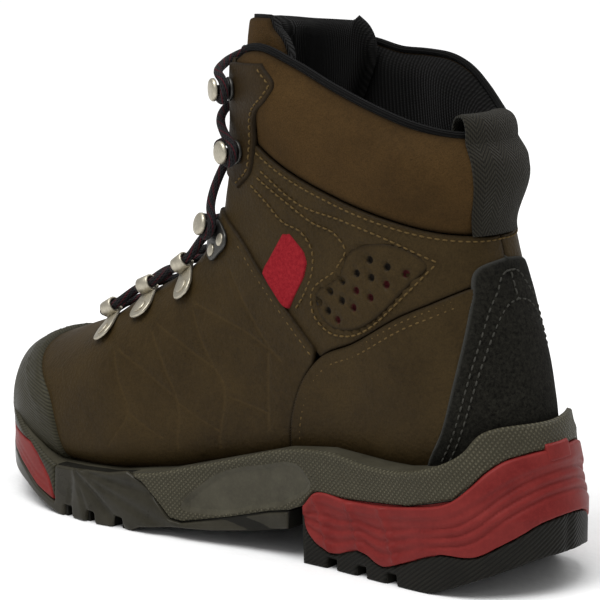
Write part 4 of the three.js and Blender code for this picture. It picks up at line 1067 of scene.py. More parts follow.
HOLE_RADIUS = 1.6
RED_HOLES = (2, 5, 7, 8, 11, 14)    # numbers of the vent holes with a red ground
for label, side in SIDES:
    tab_points = row_points([rows_tab[0 if side > 0 else 1]])
    edge_line = throat_edge(side, -0.3)
    place, _ = on_last(edge_line)
    edge_line = edge_line[(place[:, 2] > 152) & (place[:, 2] < 199.5)]
    tab_outline = np.vstack([on_side(tab_ring, side), edge_line[::-1]])
    tab = panel(f"eyestay_tab_leather_{label}", upper, tab_outline,
                lambda p, far, ab: 1.5 + ripple(p, 0.1) - dip(p, tab_points),
                [TAB_LEATHER], step=1.7, edge=1.1, sink=0.1, depth=0.6)
    hang(tab, "boot", "nubuck", f"eyestay_tab_{label}")
    accent = panel(f"accent_suede_{label}", upper, on_side(even(ACCENT + ACCENT[:1], 1.0), side),
                   lambda p, far, ab: 0.75 + ripple(p, 0.1), [RED_SUEDE], step=1.4, edge=0.8,
                   sink=0.2, depth=0.5)
    hang(accent, "boot", "suede_red", f"accent_{label}")
    hole_places = upper(on_side(VENT_HOLES, side), 0.0)

    def vent_height(p, far, ab):
        pit = smoothstep(reach(p, hole_places), 1.05 * HOLE_RADIUS, 0.9 * HOLE_RADIUS)
        return 0.5 + ripple(p, 0.08) - VENT_DEPTH * pit

    def vent_paint(centre):
        gap = np.array([np.linalg.norm(hole_places - c, axis=1) for c in centre])
        which = gap.argmin(1)
        red = np.isin(which, RED_HOLES)
        return np.where(gap.min(1) < 0.97 * HOLE_RADIUS, np.where(red, 2, 1), 0)

    vent = panel(f"vent_patch_leather_{label}", upper, on_side(spline(PATCH, 1.0, True), side),
                 vent_height, [LEATHER, HOLE_DARK, HOLE_RED], step=1.5, edge=1.2, sink=0.0,
                 depth=0.4, paint=vent_paint,
                 extra=on_side(grid_ring(VENT_HOLES, HOLE_RADIUS, 14), side))
    hang(vent, "boot", "leather", f"vent_patch_{label}")


def rand_height(p, far, ab):
    gap = reach(p, SEAMS["rand"])
    ridges = 0.55 * np.sin(np.clip((gap - 1.2) / 3.1, 0, 3) * math.pi) ** 2
    return 1.75 + ridges


def rand_outline():
    halves = []
    for side in (1, -1):
        edge = above_sole(rand_line[rand_line[:, 1] < 71.5], SOLE_TUCK)
        low = low_line(edge[-1, 0], -143, 3.0)
        toe = np.array([[t * T_SCALE, side * share * math.pi * A_SCALE]
                        for t, share in ((0.2, 0.75), (-0.05, 0.86), (-0.35, 0.94), (-0.8, 0.97))])
        halves.append(np.vstack([on_side(edge, side), on_side(low, side), toe]))
    top = [[halves[0][0, 0] + 3.0, 0.0]]
    return np.vstack([top, halves[0], [[-0.97 * T_SCALE, 0.0]], halves[1][::-1]])


rand = panel("toe_rand_rubber", upper, rand_outline(), rand_height, [RAND], step=1.8, edge=1.3,
             sink=0.0, depth=1.0)
hang(rand, "boot", "toe_rubber", "toe_rand")

counter_points = row_points([r for row in counter_rows for r in both_sides(row, "back")])


def counter_height(p, far, ab):
    return 1.6 + 1.2 * ripple(p, 0.12) - dip(p, counter_points, 0.5, 1.0)


counter = panel("heel_counter_suede", upper, counter_outline(), counter_height, [BLACK_SUEDE],
                step=2.0, edge=1.2, sink=0.0, depth=0.8)
hang(counter, "boot", "counter", "heel_counter")

sew("stitching_upper", rows_ochre, lambda ab, d: upper(ab, d + 0.35), OCHRE, "leather")
sew("stitching_tabs", rows_tab, lambda ab, d: upper(ab, d + 1.45), OCHRE, "nubuck")
sew("stitching_counter", [r for row in counter_rows for r in both_sides(row, "back")],
    lambda ab, d: upper(ab, d + 1.35), GREY_THREAD, "counter", length=2.6, pitch=3.4)

# ---- lining, footbed, piping ------------------------------------------------------------
LINING_INSIDE = -5.0
LIP_DEPTH = 9                   # how far down the lining curls out to the rim


def lining_outline():
    sides = {}
    for s in (1, -1):
        edge = throat_edge(s, 1.0)
        p, _ = on_last(edge)
        edge = edge[p[:, 2] < rim_height(p) - 1]
        if s < 0:
            edge = edge + [0, 2 * math.pi * A_SCALE]
        line = collar_top if s > 0 else collar_top_outer
        y = np.arange(-4, 107.5, 1.0)
        rim = on_side(np.stack([y, line(y) - 0.2], 1), s, "back")
        sides[s] = (edge, rim)
    back = back_point(178.1)
    return np.vstack([sides[1][0], sides[1][1], back, sides[-1][1][::-1], sides[-1][0][::-1]])


def lining_surface(ab, d):
    """Inner face of the lining, d millimetres into the boot, rolled out at the rim."""
    p, normal = on_last(ab)
    below = np.clip(rim_height(p) - p[:, 2], 0, LIP_DEPTH)
    lip = 1 - np.sqrt(np.clip(1 - (1 - below / LIP_DEPTH) ** 2, 0, 1))
    inner = LINING_INSIDE - inward_pad(p)
    outer = outward_pad(p) - 1.2
    return p + normal * (inner + (outer - inner) * lip - d)[:, None]


def lining_height(p, far, ab):
    y, z = p[:, 1], p[:, 2]
    lobes = 1.0 * np.sin(y / 13.0) ** 2 * smoothstep(z, 140, 175)
    return 0.2 + lobes + ripple(p, 0.15)


lining = panel("collar_lining", lining_surface, lining_outline(), lining_height, [KNIT],
               step=2.8, edge=1.0, depth=0.6)
hang(lining, "boot", "knit", "lining_medial", "lining_lateral", "collar_foam")


def tube(path, radius, sides, across=None):
    """Vertices, faces and pattern of a round cord along space points."""
    p = np.asarray(path, float)
    way = unit(np.gradient(p, axis=0))
    x = unit(np.cross([0, 0, 1.0], way[0]) if across is None else np.asarray(across))
    run = run_along(p)
    verts, uv = [], []
    radii = np.broadcast_to(radius, len(p))
    for i, c in enumerate(p):
        x = unit(x - way[i] * np.dot(x, way[i]))
        y = np.cross(way[i], x)
        for k in range(sides):
            w = 2 * math.pi * k / sides
            verts.append(c + radii[i] * (x * math.cos(w) + y * math.sin(w)))
            uv.append((w, run[i]))
    faces = ring_quads(0, len(p), sides)
    faces.append(tuple(reversed(range(sides))))
    end = (len(p) - 1) * sides
    faces.append(tuple(range(end, end + sides)))
    return np.array(verts), faces, np.array(uv)


def climb(angle, lowest, is_under):
    """Station at each angle where the last leaves the part that is_under(p) holds for."""
    low, high = np.full(len(angle), lowest), np.full(len(angle), float(TOP))
    for _ in range(HALVINGS):
        t = (low + high) / 2
        under = is_under(last_point(t, angle))
        low, high = np.where(under, t, low), np.where(under, high, t)
    return low


def rim_path(start=0.8, count=60, inset=1.9, raise_by=1.2):
    """Line that runs along the top of the collar, from one front corner to the other."""
    angle = np.linspace(start, 2 * math.pi - start, count)
    low = climb(angle, 13.0, lambda p: p[:, 2] < rim_height(p))
    p = last_point(low, angle)
    out = p + last_normal(low, angle) * (outward_pad(p) - inset)[:, None]
    out[:, 2] = rim_height(out) + raise_by
    return out


path = spline(rim_path(), 1.0)
verts, faces, uv = tube(even(path, 1.0), 1.6, 12)
piping = new_object("collar_piping_cord", verts, faces, [PIPING])
set_uv(piping, uv * [1.6, 1.0])
hang(piping, "boot", "webbing", "collar_piping")

# ---- pull loop ----------------------------------------------------------------------------
LOOP_WIDTH = 27.0
LOOP_TOP = 176.0                # where the straps end and the arch starts
LOOP_RISE = 10.5


def loop_surface(width_steps=18):
    across = np.linspace(-LOOP_WIDTH / 2, LOOP_WIDTH / 2, width_steps)
    outside_z = np.linspace(139.5, LOOP_TOP, 44)

    def at(x, z):
        """Back of the boot at height z and x off the centre line."""
        low = np.full(len(x), 0.62 * math.pi)
        high = np.full(len(x), 1.38 * math.pi)
        t = np.full(len(x), 14.0)
        for _ in range(HALVINGS):
            a = (low + high) / 2
            t_low, t_high = np.full(len(x), 11.0), np.full(len(x), 18.0)
            for _ in range(24):
                t = (t_low + t_high) / 2
                under = last_point(t, a)[:, 2] < z
                t_low, t_high = np.where(under, t, t_low), np.where(under, t_high, t)
            more = last_point(t, a)[:, 0] > x
            low, high = np.where(more, a, low), np.where(more, high, a)
        p = last_point(t, a)
        return p, last_normal(t, a)

    rows = []
    for z in outside_z:
        p, n = at(across, np.full(len(across), z))
        rows.append(p + n * (outward_pad(p) + 0.9)[:, None])
    top_out = rows[-1].copy()
    p, n = at(across, np.full(len(across), LOOP_TOP))
    top_in = p + n * (LINING_INSIDE - inward_pad(p) - 1.2)[:, None]
    middle = (top_out + top_in) / 2
    half = (top_out - top_in) / 2
    arch = []
    for w in np.linspace(0, math.pi, 22)[1:-1]:
        arch.append(middle + half * np.sign(math.cos(w)) * abs(math.cos(w)) ** 0.8
                    + np.array([0, 0, LOOP_RISE * math.sin(w) ** 0.8]))
    rows += arch
    for z in np.linspace(LOOP_TOP, 163, 16):
        p, n = at(across, np.full(len(across), z))
        rows.append(p + n * (LINING_INSIDE - inward_pad(p) - 1.2)[:, None])
    return np.array(rows), across


rows, across = loop_surface()
count, wide = rows.shape[:2]
gu, gv = np.gradient(rows, axis=0), np.gradient(rows, axis=1)
out = unit(np.cross(gu, gv))
if out[5, wide // 2, 1] < 0:
    out = -out
run = run_along(rows[:, wide // 2])
thin = np.minimum(1.0, (1 - np.abs(across) / (LOOP_WIDTH / 2)) * 6 + 0.55)[None, :, None]
front, back = rows + out * 0.9 * thin, rows - out * 0.9 * thin
verts = np.vstack([front.reshape(-1, 3), back.reshape(-1, 3)])
half_count = count * wide
faces = []
for i in range(count - 1):
    for j in range(wide - 1):
        a = i * wide + j
        faces.append((a, a + 1, a + wide + 1, a + wide))
        faces.append(tuple(half_count + k for k in (a, a + wide, a + wide + 1, a + 1)))
    for j, turn in ((0, 1), (wide - 1, -1)):
        a = i * wide + j
        quad = (a, a + wide, half_count + a + wide, half_count + a)
        faces.append(quad if turn > 0 else quad[::-1])
for i, turn in ((0, -1), (count - 1, 1)):
    for j in range(wide - 1):
        a = i * wide + j
        quad = (a, a + 1, half_count + a + 1, half_count + a)
        faces.append(quad if turn < 0 else quad[::-1])
pull = new_object("pull_loop_webbing", verts, faces, [WEBBING])
uv = np.array([[x, s] for s in run for x in across])
set_uv(pull, np.vstack([uv, uv]))
hang(pull, "boot", "webbing", "pull_loop")

# ---- tongue -------------------------------------------------------------------------------
TONGUE_FACE = -5.3
TONGUE_EDGE = [[-78, 76], [-60, 84.5], [-42, 93], [-28, 102], [-14, 113], [-2, 127], [3, 140],
               [8, 158], [16, 172], [23, 186], [28, 199], [28.5, 205], [25, 212], [19, 216.5]]


def tongue_outline(grow=0.0):
    halves = []
    for side in (1, -1):
        edge = spline(TONGUE_EDGE, 1.5)
        halves.append(on_side(shifted(edge, -grow), side))
    angle = np.linspace(halves[0][-1, 1], halves[1][-1, 1], 40)[1:-1] / A_SCALE
    low = climb(angle, 14.0, lambda p: p[:, 2] < 217.5 + grow + 0.1 * p[:, 0])
    lid = np.stack([low * T_SCALE, angle * A_SCALE], 1)
    return np.vstack([halves[0], lid, halves[1][::-1]])


def last_face(ab, d):
    p, normal = on_last(ab)
    return p + normal * np.broadcast_to(d, len(ab))[:, None]


tongue = panel("tongue_leather", lambda ab, d: last_face(ab, TONGUE_FACE - 1.5 + d),
               tongue_outline(-1.0), lambda p, far, ab: 1.4 + ripple(p, 0.3), [NUBUCK],
               step=2.2, edge=1.6, sink=0.0, depth=0.3)
hang(tongue, "tongue", "nubuck", "tongue_face")
TONGUE_LOBES = 1.2
pad = panel("tongue_padding", lambda ab, d: last_face(ab, TONGUE_FACE - 1.9 - d),
            tongue_outline(0.6),
            lambda p, far, ab: 6.2 + TONGUE_LOBES * np.cos(p[:, 0] / 6.0) ** 2,
            [TONGUE_KNIT], step=2.4, edge=5.0, sink=0.0, depth=0.0)
hang(pad, "tongue", "knit", "tongue_pad")

FLOOR = plain_look("floor_white", (0.86, 0.86, 0.86), (0.90, 0.90, 0.90), 0.9, scale=40.0)

# ---- sole ---------------------------------------------------------------------------------
INNER_EDGE = [[0, -151], [9, -148], [19.5, -140], [30, -130], [40, -118], [46.5, -105],
              [50.5, -90], [52, -70], [49, -30], [44, 0], [40, 30], [38.5, 60], [39.5, 90],
              [39, 115], [35, 130], [23, 143]]
OUTER_EDGE = [[0, 151], [-23, 143], [-35, 130], [-39.5, 115], [-41, 90], [-44, 60], [-49, 30],
              [-54, 0], [-57, -35], [-54, -70], [-46, -100], [-33, -125], [-15, -143]]
plan_ring = spline(INNER_EDGE + OUTER_EDGE, 1.0, True)
plan_ring = np.vstack([plan_ring, plan_ring[:1]])
plan_run = run_along(plan_ring)
ROUND = plan_run[-1]
heel_index = int(plan_ring[:, 1].argmax())
HEEL_RUN = plan_run[heel_index]
medial_y, medial_run = plan_ring[:heel_index + 1, 1], plan_run[:heel_index + 1]
lateral_y, lateral_run = plan_ring[heel_index:, 1][::-1], plan_run[heel_index:][::-1]
plan_way = unit(np.gradient(plan_ring, axis=0))


def wall(ab, d):
    """Point of the sole's side wall: the way round from the toe, the height."""
    s = np.mod(ab[:, 0], ROUND)
    x, y = (np.interp(s, plan_run, plan_ring[:, k]) for k in (0, 1))
    way = np.stack([np.interp(s, plan_run, plan_way[:, k]) for k in (0, 1)], 1)
    way = unit(way)
    z = ab[:, 1]
    p = np.stack([x + way[:, 1] * d, y - way[:, 0] * d, z], 1)
    p[:, 1] -= 0.27 * np.maximum(z - 32, 0) * smoothstep(y, 60, 130)
    return p


def along(s):
    """Lengthwise position of points round the sole."""
    return np.interp(np.mod(s, ROUND), plan_run, plan_ring[:, 1])


def band(start, low, high, end, inset=0.25):
    """Outline of a wall piece that runs round the toe or the heel from start."""
    if end == "toe":
        first, last = np.interp(start, lateral_y, lateral_run) - ROUND, np.interp(
            start, medial_y, medial_run)
    else:
        first, last = np.interp(start, medial_y, medial_run), np.interp(
            start, lateral_y, lateral_run)
    s = np.linspace(first, last, int((last - first) / 0.5))
    y = along(s)
    bottom, top = (np.interp(y, *np.array(line, float).T) for line in (low, high))
    top = np.maximum(top - inset, bottom + 0.05)
    return np.vstack([np.stack([s, bottom], 1), np.stack([s, top], 1)[::-1]])


def notched(line, places, width, depth):
    """The line with square notches cut up into it."""
    points = [list(p) for p in line]
    line = np.array(line, float)
    for y in places:
        z = float(np.interp(y, line[:, 0], line[:, 1]))
        points = [p for p in points if abs(p[0] - y) > width / 2]
        points += [[y - width / 2 - 0.3, z], [y - width / 2, z + depth],
                   [y + width / 2, z + depth], [y + width / 2 + 0.3, z]]
    return sorted(points)


def bump(x, centre, width):
    return np.exp(-((x - centre) / width) ** 2)


INSERT_TOP = [[-200, 33], [-118, 30], [-103, 28.5], [-96, 24], [-88, 15], [-84, 5.5]]
INSERT_BASE = [[-200, 26], [-135, 22], [-118, 19.5], [-107, 15], [-97, 9.5], [-84, 5.5]]
WING_TOP = [*INSERT_BASE[:-1], [-84.2, 5.2], [-83.9, 21.8], [-52, 23.8], [-42, 26], [-34, 22.2],
            [-26, 14.7], [-20, 8.4], [-14, 7.7], [9, 13.1], [29, 18.7], [39, 20.6]]
FRONT_BASE = [[-151, 19], [-140, 16], [-120, 12], [-106, 8.5], [-95, 4], [-82, 0], [-40, 0],
              [-36, 2], [-20, 4.5], [0, 6], [20, 9], [39, 13]]
FRAME_LOW = [[-42, 26], [-34, 22.2], *FRAME_BASE]
HEEL_BASE = [[47, 0], [113, 0], [121, 3], [135, 9], [147.3, 15.5], [170, 20]]
PROUD = 0.7
feather_points = [list(p) for p in feather.line]

FACET = spline([[-14, 14], [2, 30], [25, 38], [46, 40], [51, 34], [40, 24.5], [20, 18],
                [4, 13.5]], 1.0, True)


def frame_facet(p):
    flat = np.stack([p[:, 1], p[:, 2]], 1)
    gap = reach(flat, FACET)
    return np.where(inside(flat, FACET), gap, -gap)


def sole_skin(name, outline, height, materials, slot_name, step, edge, **more):
    """Sheet on the sole's side wall."""
    skin = panel(name, wall, outline, height, materials, step=step, edge=edge, sink=0.3,
                 depth=0.3, **more)
    return hang(skin, "boot", slot_name)


def frame_height(p, far, ab):
    scoop = smoothstep(frame_facet(p), -1.0, 5.5) * 2.6
    lip = 0.5 * bump(p[:, 2], feather(p[:, 1]) - 1.8, 1.6)
    return PROUD + 0.6 - scoop + lip


# The scooped facet gets the darker smooth rubber: a painted shade on top of its smooth finish.
def frame_paint(centre):
    return np.where(frame_facet(centre) > 0.0, 1, 0)


facet_rows = even(FACET, 0.8)
facet_extra = np.vstack([np.stack([np.interp(facet_rows[:, 0], ys, runs), facet_rows[:, 1]], 1)
                         for ys, runs in ((medial_y, medial_run), (lateral_y, lateral_run))])
sole_skin("midsole_frame_wall", band(-41, FRAME_LOW, feather_points, "heel"), frame_height,
          [FRAME_DOTS, FRAME_SMOOTH_SHADED], "frame_grey", 1.8, 1.1, extra=facet_extra,
          paint=frame_paint)
sole_skin("toe_band_wall", band(-84, INSERT_TOP, feather_points, "toe"),
          lambda p, far, ab: PROUD + 0.4 + 0.35 * bump(p[:, 2], feather(p[:, 1]) - 2.4, 1.4),
          [RAND], "toe_rubber", 2.2, 1.1)


def insert_height(p, far, ab):
    low = np.interp(p[:, 1], *np.array(INSERT_BASE, float).T)
    groove = bump(p[:, 2], low + 3.2, 0.7) + 0.8 * bump(p[:, 2], low + 6.0, 0.6)
    return PROUD + 0.3 - 0.5 * groove * smoothstep(far, 1, 2.5)


sole_skin("toe_insert_wall", band(-85.5, INSERT_BASE, INSERT_TOP, "toe"), insert_height,
          [WEDGE], "wedge_red", 1.2, 0.9)

APEX = np.array([-72.0, 23.0])


def wing_height(p, far, ab):
    flat = np.stack([p[:, 1], p[:, 2]], 1) - APEX
    turn = np.degrees(np.arctan2(-flat[:, 1], flat[:, 0]))
    fan = np.zeros(len(p))
    for angle, deep in ((7.0, 1.2), (20.0, 1.3), (40.0, 1.2), (66.0, 1.1), (98.0, 0.9)):
        fan += deep * bump(turn, angle, 3.2) * smoothstep(np.linalg.norm(flat, axis=1), 4, 14)
    steps = (1.0 * smoothstep(turn, 8, 19) - 1.0 * smoothstep(turn, 21, 39)
             + 0.8 * smoothstep(turn, 41, 64) - 0.8 * smoothstep(turn, 68, 96))
    wing = smoothstep(p[:, 1], -86, -80) * smoothstep(p[:, 1], 44, 30)
    return PROUD + 0.5 + wing * (steps - fan)


NOTCH_WIDTH = 5.0
NOTCH_DEPTH = 5.0
front_low = notched(FRONT_BASE, (-76, -62, -47), NOTCH_WIDTH, NOTCH_DEPTH)
sole_skin("front_outsole_wall", band(39, front_low, WING_TOP, "toe"), wing_height, [WING],
          "rubber", 1.4, 1.0)

wedge_line = [list(p) for p in wedge_base.line]
frame_line = [list(p) for p in frame_base.line]


def wedge_height(p, far, ab):
    y, z = p[:, 1], p[:, 2]
    low, high = wedge_base(y), frame_base(y)
    share = np.clip((z - low) / np.maximum(high - low, 3), 0, 1)
    lip = 0.9 * smoothstep(high - z, 5.5, 4.2)
    side_part = smoothstep(y, 112, 100)
    ribs = sum(1.3 * bump(y + 0.35 * (z - 20), at, 1.7) for at in (57, 75, 93)) * side_part
    grooves = bump(share, 0.22, 0.045) + bump(share, 0.42, 0.045) + bump(share, 0.60, 0.04)
    rear = smoothstep(y, 104, 122)
    wave = share + 0.10 * np.sin((y - 100) / 11.0)
    flow = bump(wave, 0.28, 0.035) + bump(wave, 0.46, 0.035) + bump(wave, 0.64, 0.035)
    return PROUD + 0.6 + lip + ribs - 0.95 * grooves * side_part - 1.15 * flow * rear


sole_skin("midsole_wedge_wall", band(47, wedge_line, frame_line, "heel"), wedge_height,
          [WEDGE], "wedge_red", 0.95, 0.9)

heel_low = notched(HEEL_BASE, (62, 78, 94), NOTCH_WIDTH, NOTCH_DEPTH)


def heel_height(p, far, ab):
    middle = bump(np.mod(ab[:, 0], ROUND), HEEL_RUN, 2.2)
    return PROUD + 0.3 - 1.0 * middle


sole_skin("heel_tread_wall", band(47.4, heel_low, wedge_line, "heel"), heel_height, [OUTSOLE],
          "rubber", 2.0, 1.0)

HEEL_TAB_HALF, HEEL_TAB_LOW, HEEL_TAB_TOP, HEEL_TAB_PROUD = 7, 53, 60, 2.6
heel_tab_ring = [[HEEL_RUN - HEEL_TAB_HALF, HEEL_TAB_LOW], [HEEL_RUN + HEEL_TAB_HALF, HEEL_TAB_LOW],
                 [HEEL_RUN + HEEL_TAB_HALF, HEEL_TAB_TOP], [HEEL_RUN - HEEL_TAB_HALF, HEEL_TAB_TOP]]
sole_skin("heel_pull_tab", heel_tab_ring, lambda p, far, ab: np.full(len(p), HEEL_TAB_PROUD),
          [WEDGE], "wedge_red", 1.4, 0.8)

# ---- hardware -------------------------------------------------------------------------------
GAP, OVERLAY, PLATE = 0.3, 1.4, 1.2
LACE_RADIUS = 1.9
TUNNEL_OUT, TUNNEL_IN, TUNNEL_WIDTH = 3.6, 2.4, 7.0
HOOK_GAP, HOOK_CAP, SPOOL_NECK = 2 * LACE_RADIUS + 1.4, 2.2, 1.9
LOOPS = [[5.58, 32], [6.5, 30.5], [7.85, 30.5]]
LOCK = [9.45, 29.5]
HOOKS = [[13.2, 29.5], [15.4, 27.5]]
LOOP_SEAT, LOOP_LEAN, LOCK_SEAT, HOOK_SEAT = GAP + 0.3, 0.25, GAP + 0.6, 2 * GAP + OVERLAY


def on_front(t, s, d):
    a = angle_at(t, s) if s else 0.0
    return (last_point(t, a) + last_normal(t, a) * d)[0]


def seat(t, s, height, lean=0.0):
    """Origin and axes (inward, along, outward) of a fitting on the eyestay."""
    sign = math.copysign(1, s)
    z = last_normal(t, angle_at(t, s))[0]
    x = unit(on_front(t, s - sign, 0) - on_front(t, s + sign, 0))
    y = unit(np.cross(z, x))
    x = np.cross(y, z)
    c, w = math.cos(lean * sign), math.sin(lean * sign)
    return on_front(t, s, height), np.array([x * c + y * w, y * c - x * w, z])


class Fitting:
    """Mesh parts of one metal fitting, in its own axes."""

    def __init__(self):
        self.verts, self.faces, self.index = [], [], []

    def part(self, rings, material, ends=True):
        start, n = len(self.verts), len(rings[0])
        for ring in rings:
            self.verts += [tuple(p) for p in ring]
        quads = ring_quads(start, len(rings), n)
        self.faces += quads
        self.index += [material] * len(quads)
        if ends:
            last = start + (len(rings) - 1) * n
            self.faces += [tuple(start + k for k in reversed(range(n))),
                           tuple(last + k for k in range(n))]
            self.index += [material, material]

    def turned(self, profile, x, y, material, sides=28):
        """Round piece about the outward axis from (radius, height) pairs."""
        w = 2 * math.pi * np.arange(sides) / sides
        self.part([np.stack([x + r * np.cos(w), y + r * np.sin(w), np.full(sides, h)], 1)
                   for r, h in profile], material)

    def sheet(self, outline, thickness, material, round_edge=0.35):
        ring = anticlockwise(spline(outline, 0.8, True))
        middle = ring.mean(0)

        def at(inset, z):
            pulled = middle + (ring - middle) * (1 - inset / 6.0)
            return np.column_stack([pulled, np.full(len(ring), z)])
        self.part([at(0, 0), at(0, thickness - round_edge), at(round_edge * 0.4,
                   thickness - round_edge * 0.3), at(round_edge, thickness)], material)

    def tunnel(self, material, sides=26):
        """Curled strap the lace runs through, its axis along the eyestay."""
        w = 2 * math.pi * np.arange(sides) / sides
        half = TUNNEL_WIDTH / 2
        rings = []
        for r, y in ((TUNNEL_IN, -half + 0.4), (TUNNEL_IN + 0.4, -half), (TUNNEL_OUT - 0.4, -half),
                     (TUNNEL_OUT, -half + 0.4), (TUNNEL_OUT, half - 0.4),
                     (TUNNEL_OUT - 0.4, half), (TUNNEL_IN + 0.4, half), (TUNNEL_IN, half - 0.4),
                     (TUNNEL_IN, -half + 0.4)):
            rings.append(np.stack([7 + r * np.sin(w), np.full(sides, y),
                                   TUNNEL_OUT + r * np.cos(w)], 1))
        self.part(rings, material, ends=False)

    def place(self, name, where, axes, node):
        verts = np.array(self.verts) @ axes + where
        obj = new_object(name, verts, self.faces, [CHAMPAGNE, DARK_METAL], index=self.index)
        sharp = obj.modifiers.new("edges", "BEVEL")
        sharp.width = 0.00012
        sharp.segments = 2
        sharp.limit_method = "ANGLE"
        sharp.angle_limit = math.radians(50)
        hang(obj, "boot", "metal", node)
        return obj


def rivet(radius, low, high):
    return [(radius, low), (radius, high - 0.35), (radius * 0.82, high - 0.08),
            (radius * 0.45, high + 0.06), (radius * 0.08, high + 0.1)]


def spool_parts(fitting, x, y, base=True):
    if base:
        fitting.turned([(5.0, 0), (5.0, PLATE - 0.3), (4.6, PLATE)], x, y, 1)
    top = PLATE + HOOK_GAP
    fitting.turned([(2.6, PLATE - 0.2), (SPOOL_NECK, PLATE + 0.9), (SPOOL_NECK, top - 0.7),
                    (2.7, top + 0.1)], x, y, 1)
    fitting.turned([(3.2, top), (4.6, top + 0.15), (4.85, top + 0.6), (4.7, top + HOOK_CAP - 0.7),
                    (4.2, top + HOOK_CAP - 0.2), (3.0, top + HOOK_CAP), (0.2, top + HOOK_CAP + 0.1)],
                   x, y, 0)


TEARDROP = [[-10.5, 0], [-9.4, -3.8], [-5, -5.6], [0, -4.9], [4, -4], [8, -4], [8, 4],
            [4, 4], [0, 4.9], [-5, 5.6], [-9.4, 3.8]]
LOCK_PLATE = [[-7.5, 0], [-7, -6], [-3.5, -8.3], [1, -7], [8, -2.6], [9.4, 0.5], [8, 3.6],
              [1, 7.8], [-3.5, 8.3], [-7, 6]]
for label, sign in SIDES:
    for i, (t, s) in enumerate(LOOPS):
        fitting = Fitting()
        fitting.sheet(TEARDROP, PLATE, 0)
        fitting.tunnel(0)
        fitting.turned(rivet(3.1, PLATE - 0.1, PLATE + 0.9), -5.0, 0, 0)
        fitting.place(f"lace_loop_{i + 1}_{label}_metal",
                      *seat(t, s * sign, LOOP_SEAT, LOOP_LEAN), f"lace_loop_{i + 1}_{label}")
    fitting = Fitting()
    fitting.sheet(LOCK_PLATE, PLATE, 1)
    for y in (-4.2, 4.2):
        fitting.turned(rivet(2.7, PLATE - 0.1, PLATE + 0.8), -3, y, 0)
    spool_parts(fitting, 6.5, 0.5, base=False)
    fitting.place(f"locking_hook_{label}_metal", *seat(LOCK[0], LOCK[1] * sign, LOCK_SEAT),
                  f"locking_hook_{label}")
    for i, (t, s) in enumerate(HOOKS):
        fitting = Fitting()
        spool_parts(fitting, 0, 0)
        fitting.place(f"speed_hook_{i + 1}_{label}_metal", *seat(t, s * sign, HOOK_SEAT),
                      f"speed_hook_{i + 1}_{label}")

# ---- lace -------------------------------------------------------------------------------------
LACE_LOW = 2.4
LACE_HIGH = LACE_LOW + 2 * LACE_RADIUS + 0.8
EDGE_REST, EDGE_LIFT, LOOP_REST, LOOP_LIFT, FIRST_BAR = 17, 5.2, 19, 4.4, 5.25
TURN_RADIUS = SPOOL_NECK + LACE_RADIUS + 0.6
HOOK_LINE = PLATE + HOOK_GAP / 2


def through_loop(t, s):
    where, axes = seat(t, s, LOOP_SEAT, LOOP_LEAN)
    up = -math.copysign(1, s)
    return [np.array([7, y * up, TUNNEL_OUT]) @ axes + where for y in (-5, 0, 5)]


def round_hook(t, s, height, x, y):
    where, axes = seat(t, s, height)
    up = -math.copysign(1, s)
    local = [[x + 5.5, y - TURN_RADIUS * up, HOOK_LINE]]
    for i in range(7):
        a = -math.pi / 2 - math.pi * i / 6
        local.append([x + TURN_RADIUS * math.cos(a), y + TURN_RADIUS * math.sin(a) * up, HOOK_LINE])
    local.append([x + 5.5, y + TURN_RADIUS * up, HOOK_LINE])
    return [np.array(p) @ axes + where for p in local]


def lace_half(start, height):
    """One half of the lace, climbing and crossing from the lowest pair of loops."""
    points, sign = [], start
    for i, (t, s) in enumerate(LOOPS):
        ahead = LOOPS[i + 1][0] if i < len(LOOPS) - 1 else LOCK[0]
        if i > 0:
            points.append(on_front(t - 0.38 * (t - LOOPS[i - 1][0]), LOOP_REST * sign, LOOP_LIFT))
        points += through_loop(t, s * sign)
        points.append(on_front(t + 0.38 * (ahead - t), LOOP_REST * sign, LOOP_LIFT))
        points.append(on_front((t + ahead) / 2, 0, height))
        sign = -sign
    stops = [[*LOCK, LOCK_SEAT, 6.5, 0.5]] + [[*hook, HOOK_SEAT, 0, 0] for hook in HOOKS]
    for i, (t, s, height_of, x, y) in enumerate(stops):
        before = LOOPS[-1][0] if i == 0 else stops[i - 1][0]
        after = stops[i + 1][0] if i < len(stops) - 1 else t + 1.6
        points.append(on_front(t - 0.3 * (t - before), EDGE_REST * sign, EDGE_LIFT))
        points += round_hook(t, s * sign, height_of, x, y)
        points.append(on_front(t + 0.3 * (after - t), EDGE_REST * sign, EDGE_LIFT))
        if i < len(stops) - 1:
            points.append(on_front((t + after) / 2 + 0.2, 0, height))
        sign = -sign
    points.append(on_front(HOOKS[1][0] + 0.9, 8 * sign, height))
    return points


first_bar = [on_front(FIRST_BAR, s, LACE_LOW + 0.6) for s in (22, 12, 0, -12, -22)]
lace_points = lace_half(1, LACE_LOW)[::-1] + first_bar + lace_half(-1, LACE_HIGH)
lace_line = even(spline(lace_points, 0.6), 0.8)
lace_run = np.linalg.norm(np.diff(lace_line, axis=0), axis=1).sum()
print(f"lace length {lace_run:.0f} mm")
verts, faces, uv = tube(lace_line, LACE_RADIUS, 14)
lace = new_object("lace_cord", verts, faces, [LACE])
set_uv(lace, uv * [LACE_RADIUS, 1.0])
hang(lace, "boot", "lace", "lace")

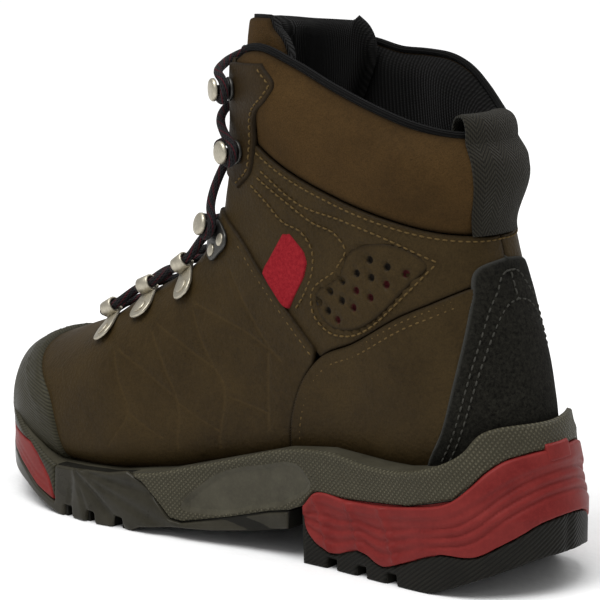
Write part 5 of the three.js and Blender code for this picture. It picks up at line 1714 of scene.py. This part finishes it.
# ---- CAD pieces that stay ----------------------------------------------------------------------
for node, material in (("footbed", FOOTBED), ("insole_board", BOARD), ("toe_puff", BOARD),
                       ("heel_stiffener", BOARD), ("shank", SHANK), ("outsole_front", LUG_RUBBER),
                       ("outsole_heel", LUG_RUBBER), ("midsole_wedge", WEDGE),
                       ("midsole_toe_insert", WEDGE), ("midsole_frame", FRAME_SMOOTH_SHADED),
                       ("gusset_medial", PIPING), ("gusset_lateral", PIPING)):
    obj = bpy.data.objects[node]
    obj.data.materials.clear()
    obj.data.materials.append(material)

# ---- camera, light and floor ------------------------------------------------------------------
ground = bpy.data.meshes.new("floor")
ground.from_pydata([(-6, -6, 0), (6, -6, 0), (6, 6, 0), (-6, 6, 0)], [], [(0, 1, 2, 3)])
ground.materials.append(FLOOR)
floor = bpy.data.objects.new("floor", ground)
bpy.context.scene.collection.objects.link(floor)

AZIMUTH = math.radians(131.0)           # from the toe's side, over the inner side
ELEVATION = math.radians(11.5)
DISTANCE = 1.3
LENS = 185.1
back_way = Vector((math.sin(AZIMUTH) * math.cos(ELEVATION),
                   -math.cos(AZIMUTH) * math.cos(ELEVATION), math.sin(ELEVATION)))
right_way = Vector((math.cos(AZIMUTH), math.sin(AZIMUTH), 0.0))
up_way = back_way.cross(right_way)
aim = Vector((0.0025, 0.0, 0.100)) + right_way * 0.0082 - up_way * 0.0026
lens = bpy.data.cameras.new("photo_camera")
lens.lens = LENS
lens.sensor_width = 36.0
camera = bpy.data.objects.new("photo_camera", lens)
turn = Matrix((right_way, up_way, back_way)).transposed()
camera.matrix_world = Matrix.Translation(aim + back_way * DISTANCE) @ turn.to_4x4()
bpy.context.scene.collection.objects.link(camera)
bpy.context.scene.camera = camera


def soft_light(name, where, size, power):
    """Square area light aimed at the middle of the boot."""
    light = bpy.data.lights.new(name, "AREA")
    light.size = size
    light.energy = power
    lamp = bpy.data.objects.new(name, light)
    spot = aim + right_way * where[0] + up_way * where[1] + back_way * where[2]
    lamp.location = spot
    lamp.rotation_euler = (aim - spot).to_track_quat("-Z", "Y").to_euler()
    bpy.context.scene.collection.objects.link(lamp)


KEY_POWER, RIM_POWER, SKY_POWER, WORLD_STRENGTH = 9.0, 5.0, 2.2, 0.5
soft_light("key_light", (-0.7, 1.4, 0.8), 0.9, KEY_POWER)
soft_light("rim_light", (0.9, 1.1, -0.7), 0.8, RIM_POWER)
sky = bpy.data.lights.new("sky_light", "SUN")
sky.energy = SKY_POWER
sky.angle = math.radians(50)
lamp = bpy.data.objects.new("sky_light", sky)
lamp.rotation_euler = (-(back_way + up_way * 2.2 - right_way * 0.5)).to_track_quat("-Z", "Y").to_euler()
bpy.context.scene.collection.objects.link(lamp)
world = bpy.data.worlds.new("studio")
world.use_nodes = True
world.node_tree.nodes["Background"].inputs["Color"].default_value = (1.0, 1.0, 1.0, 1)
world.node_tree.nodes["Background"].inputs["Strength"].default_value = WORLD_STRENGTH
bpy.context.scene.world = world
bpy.context.scene.view_settings.view_transform = "Standard"
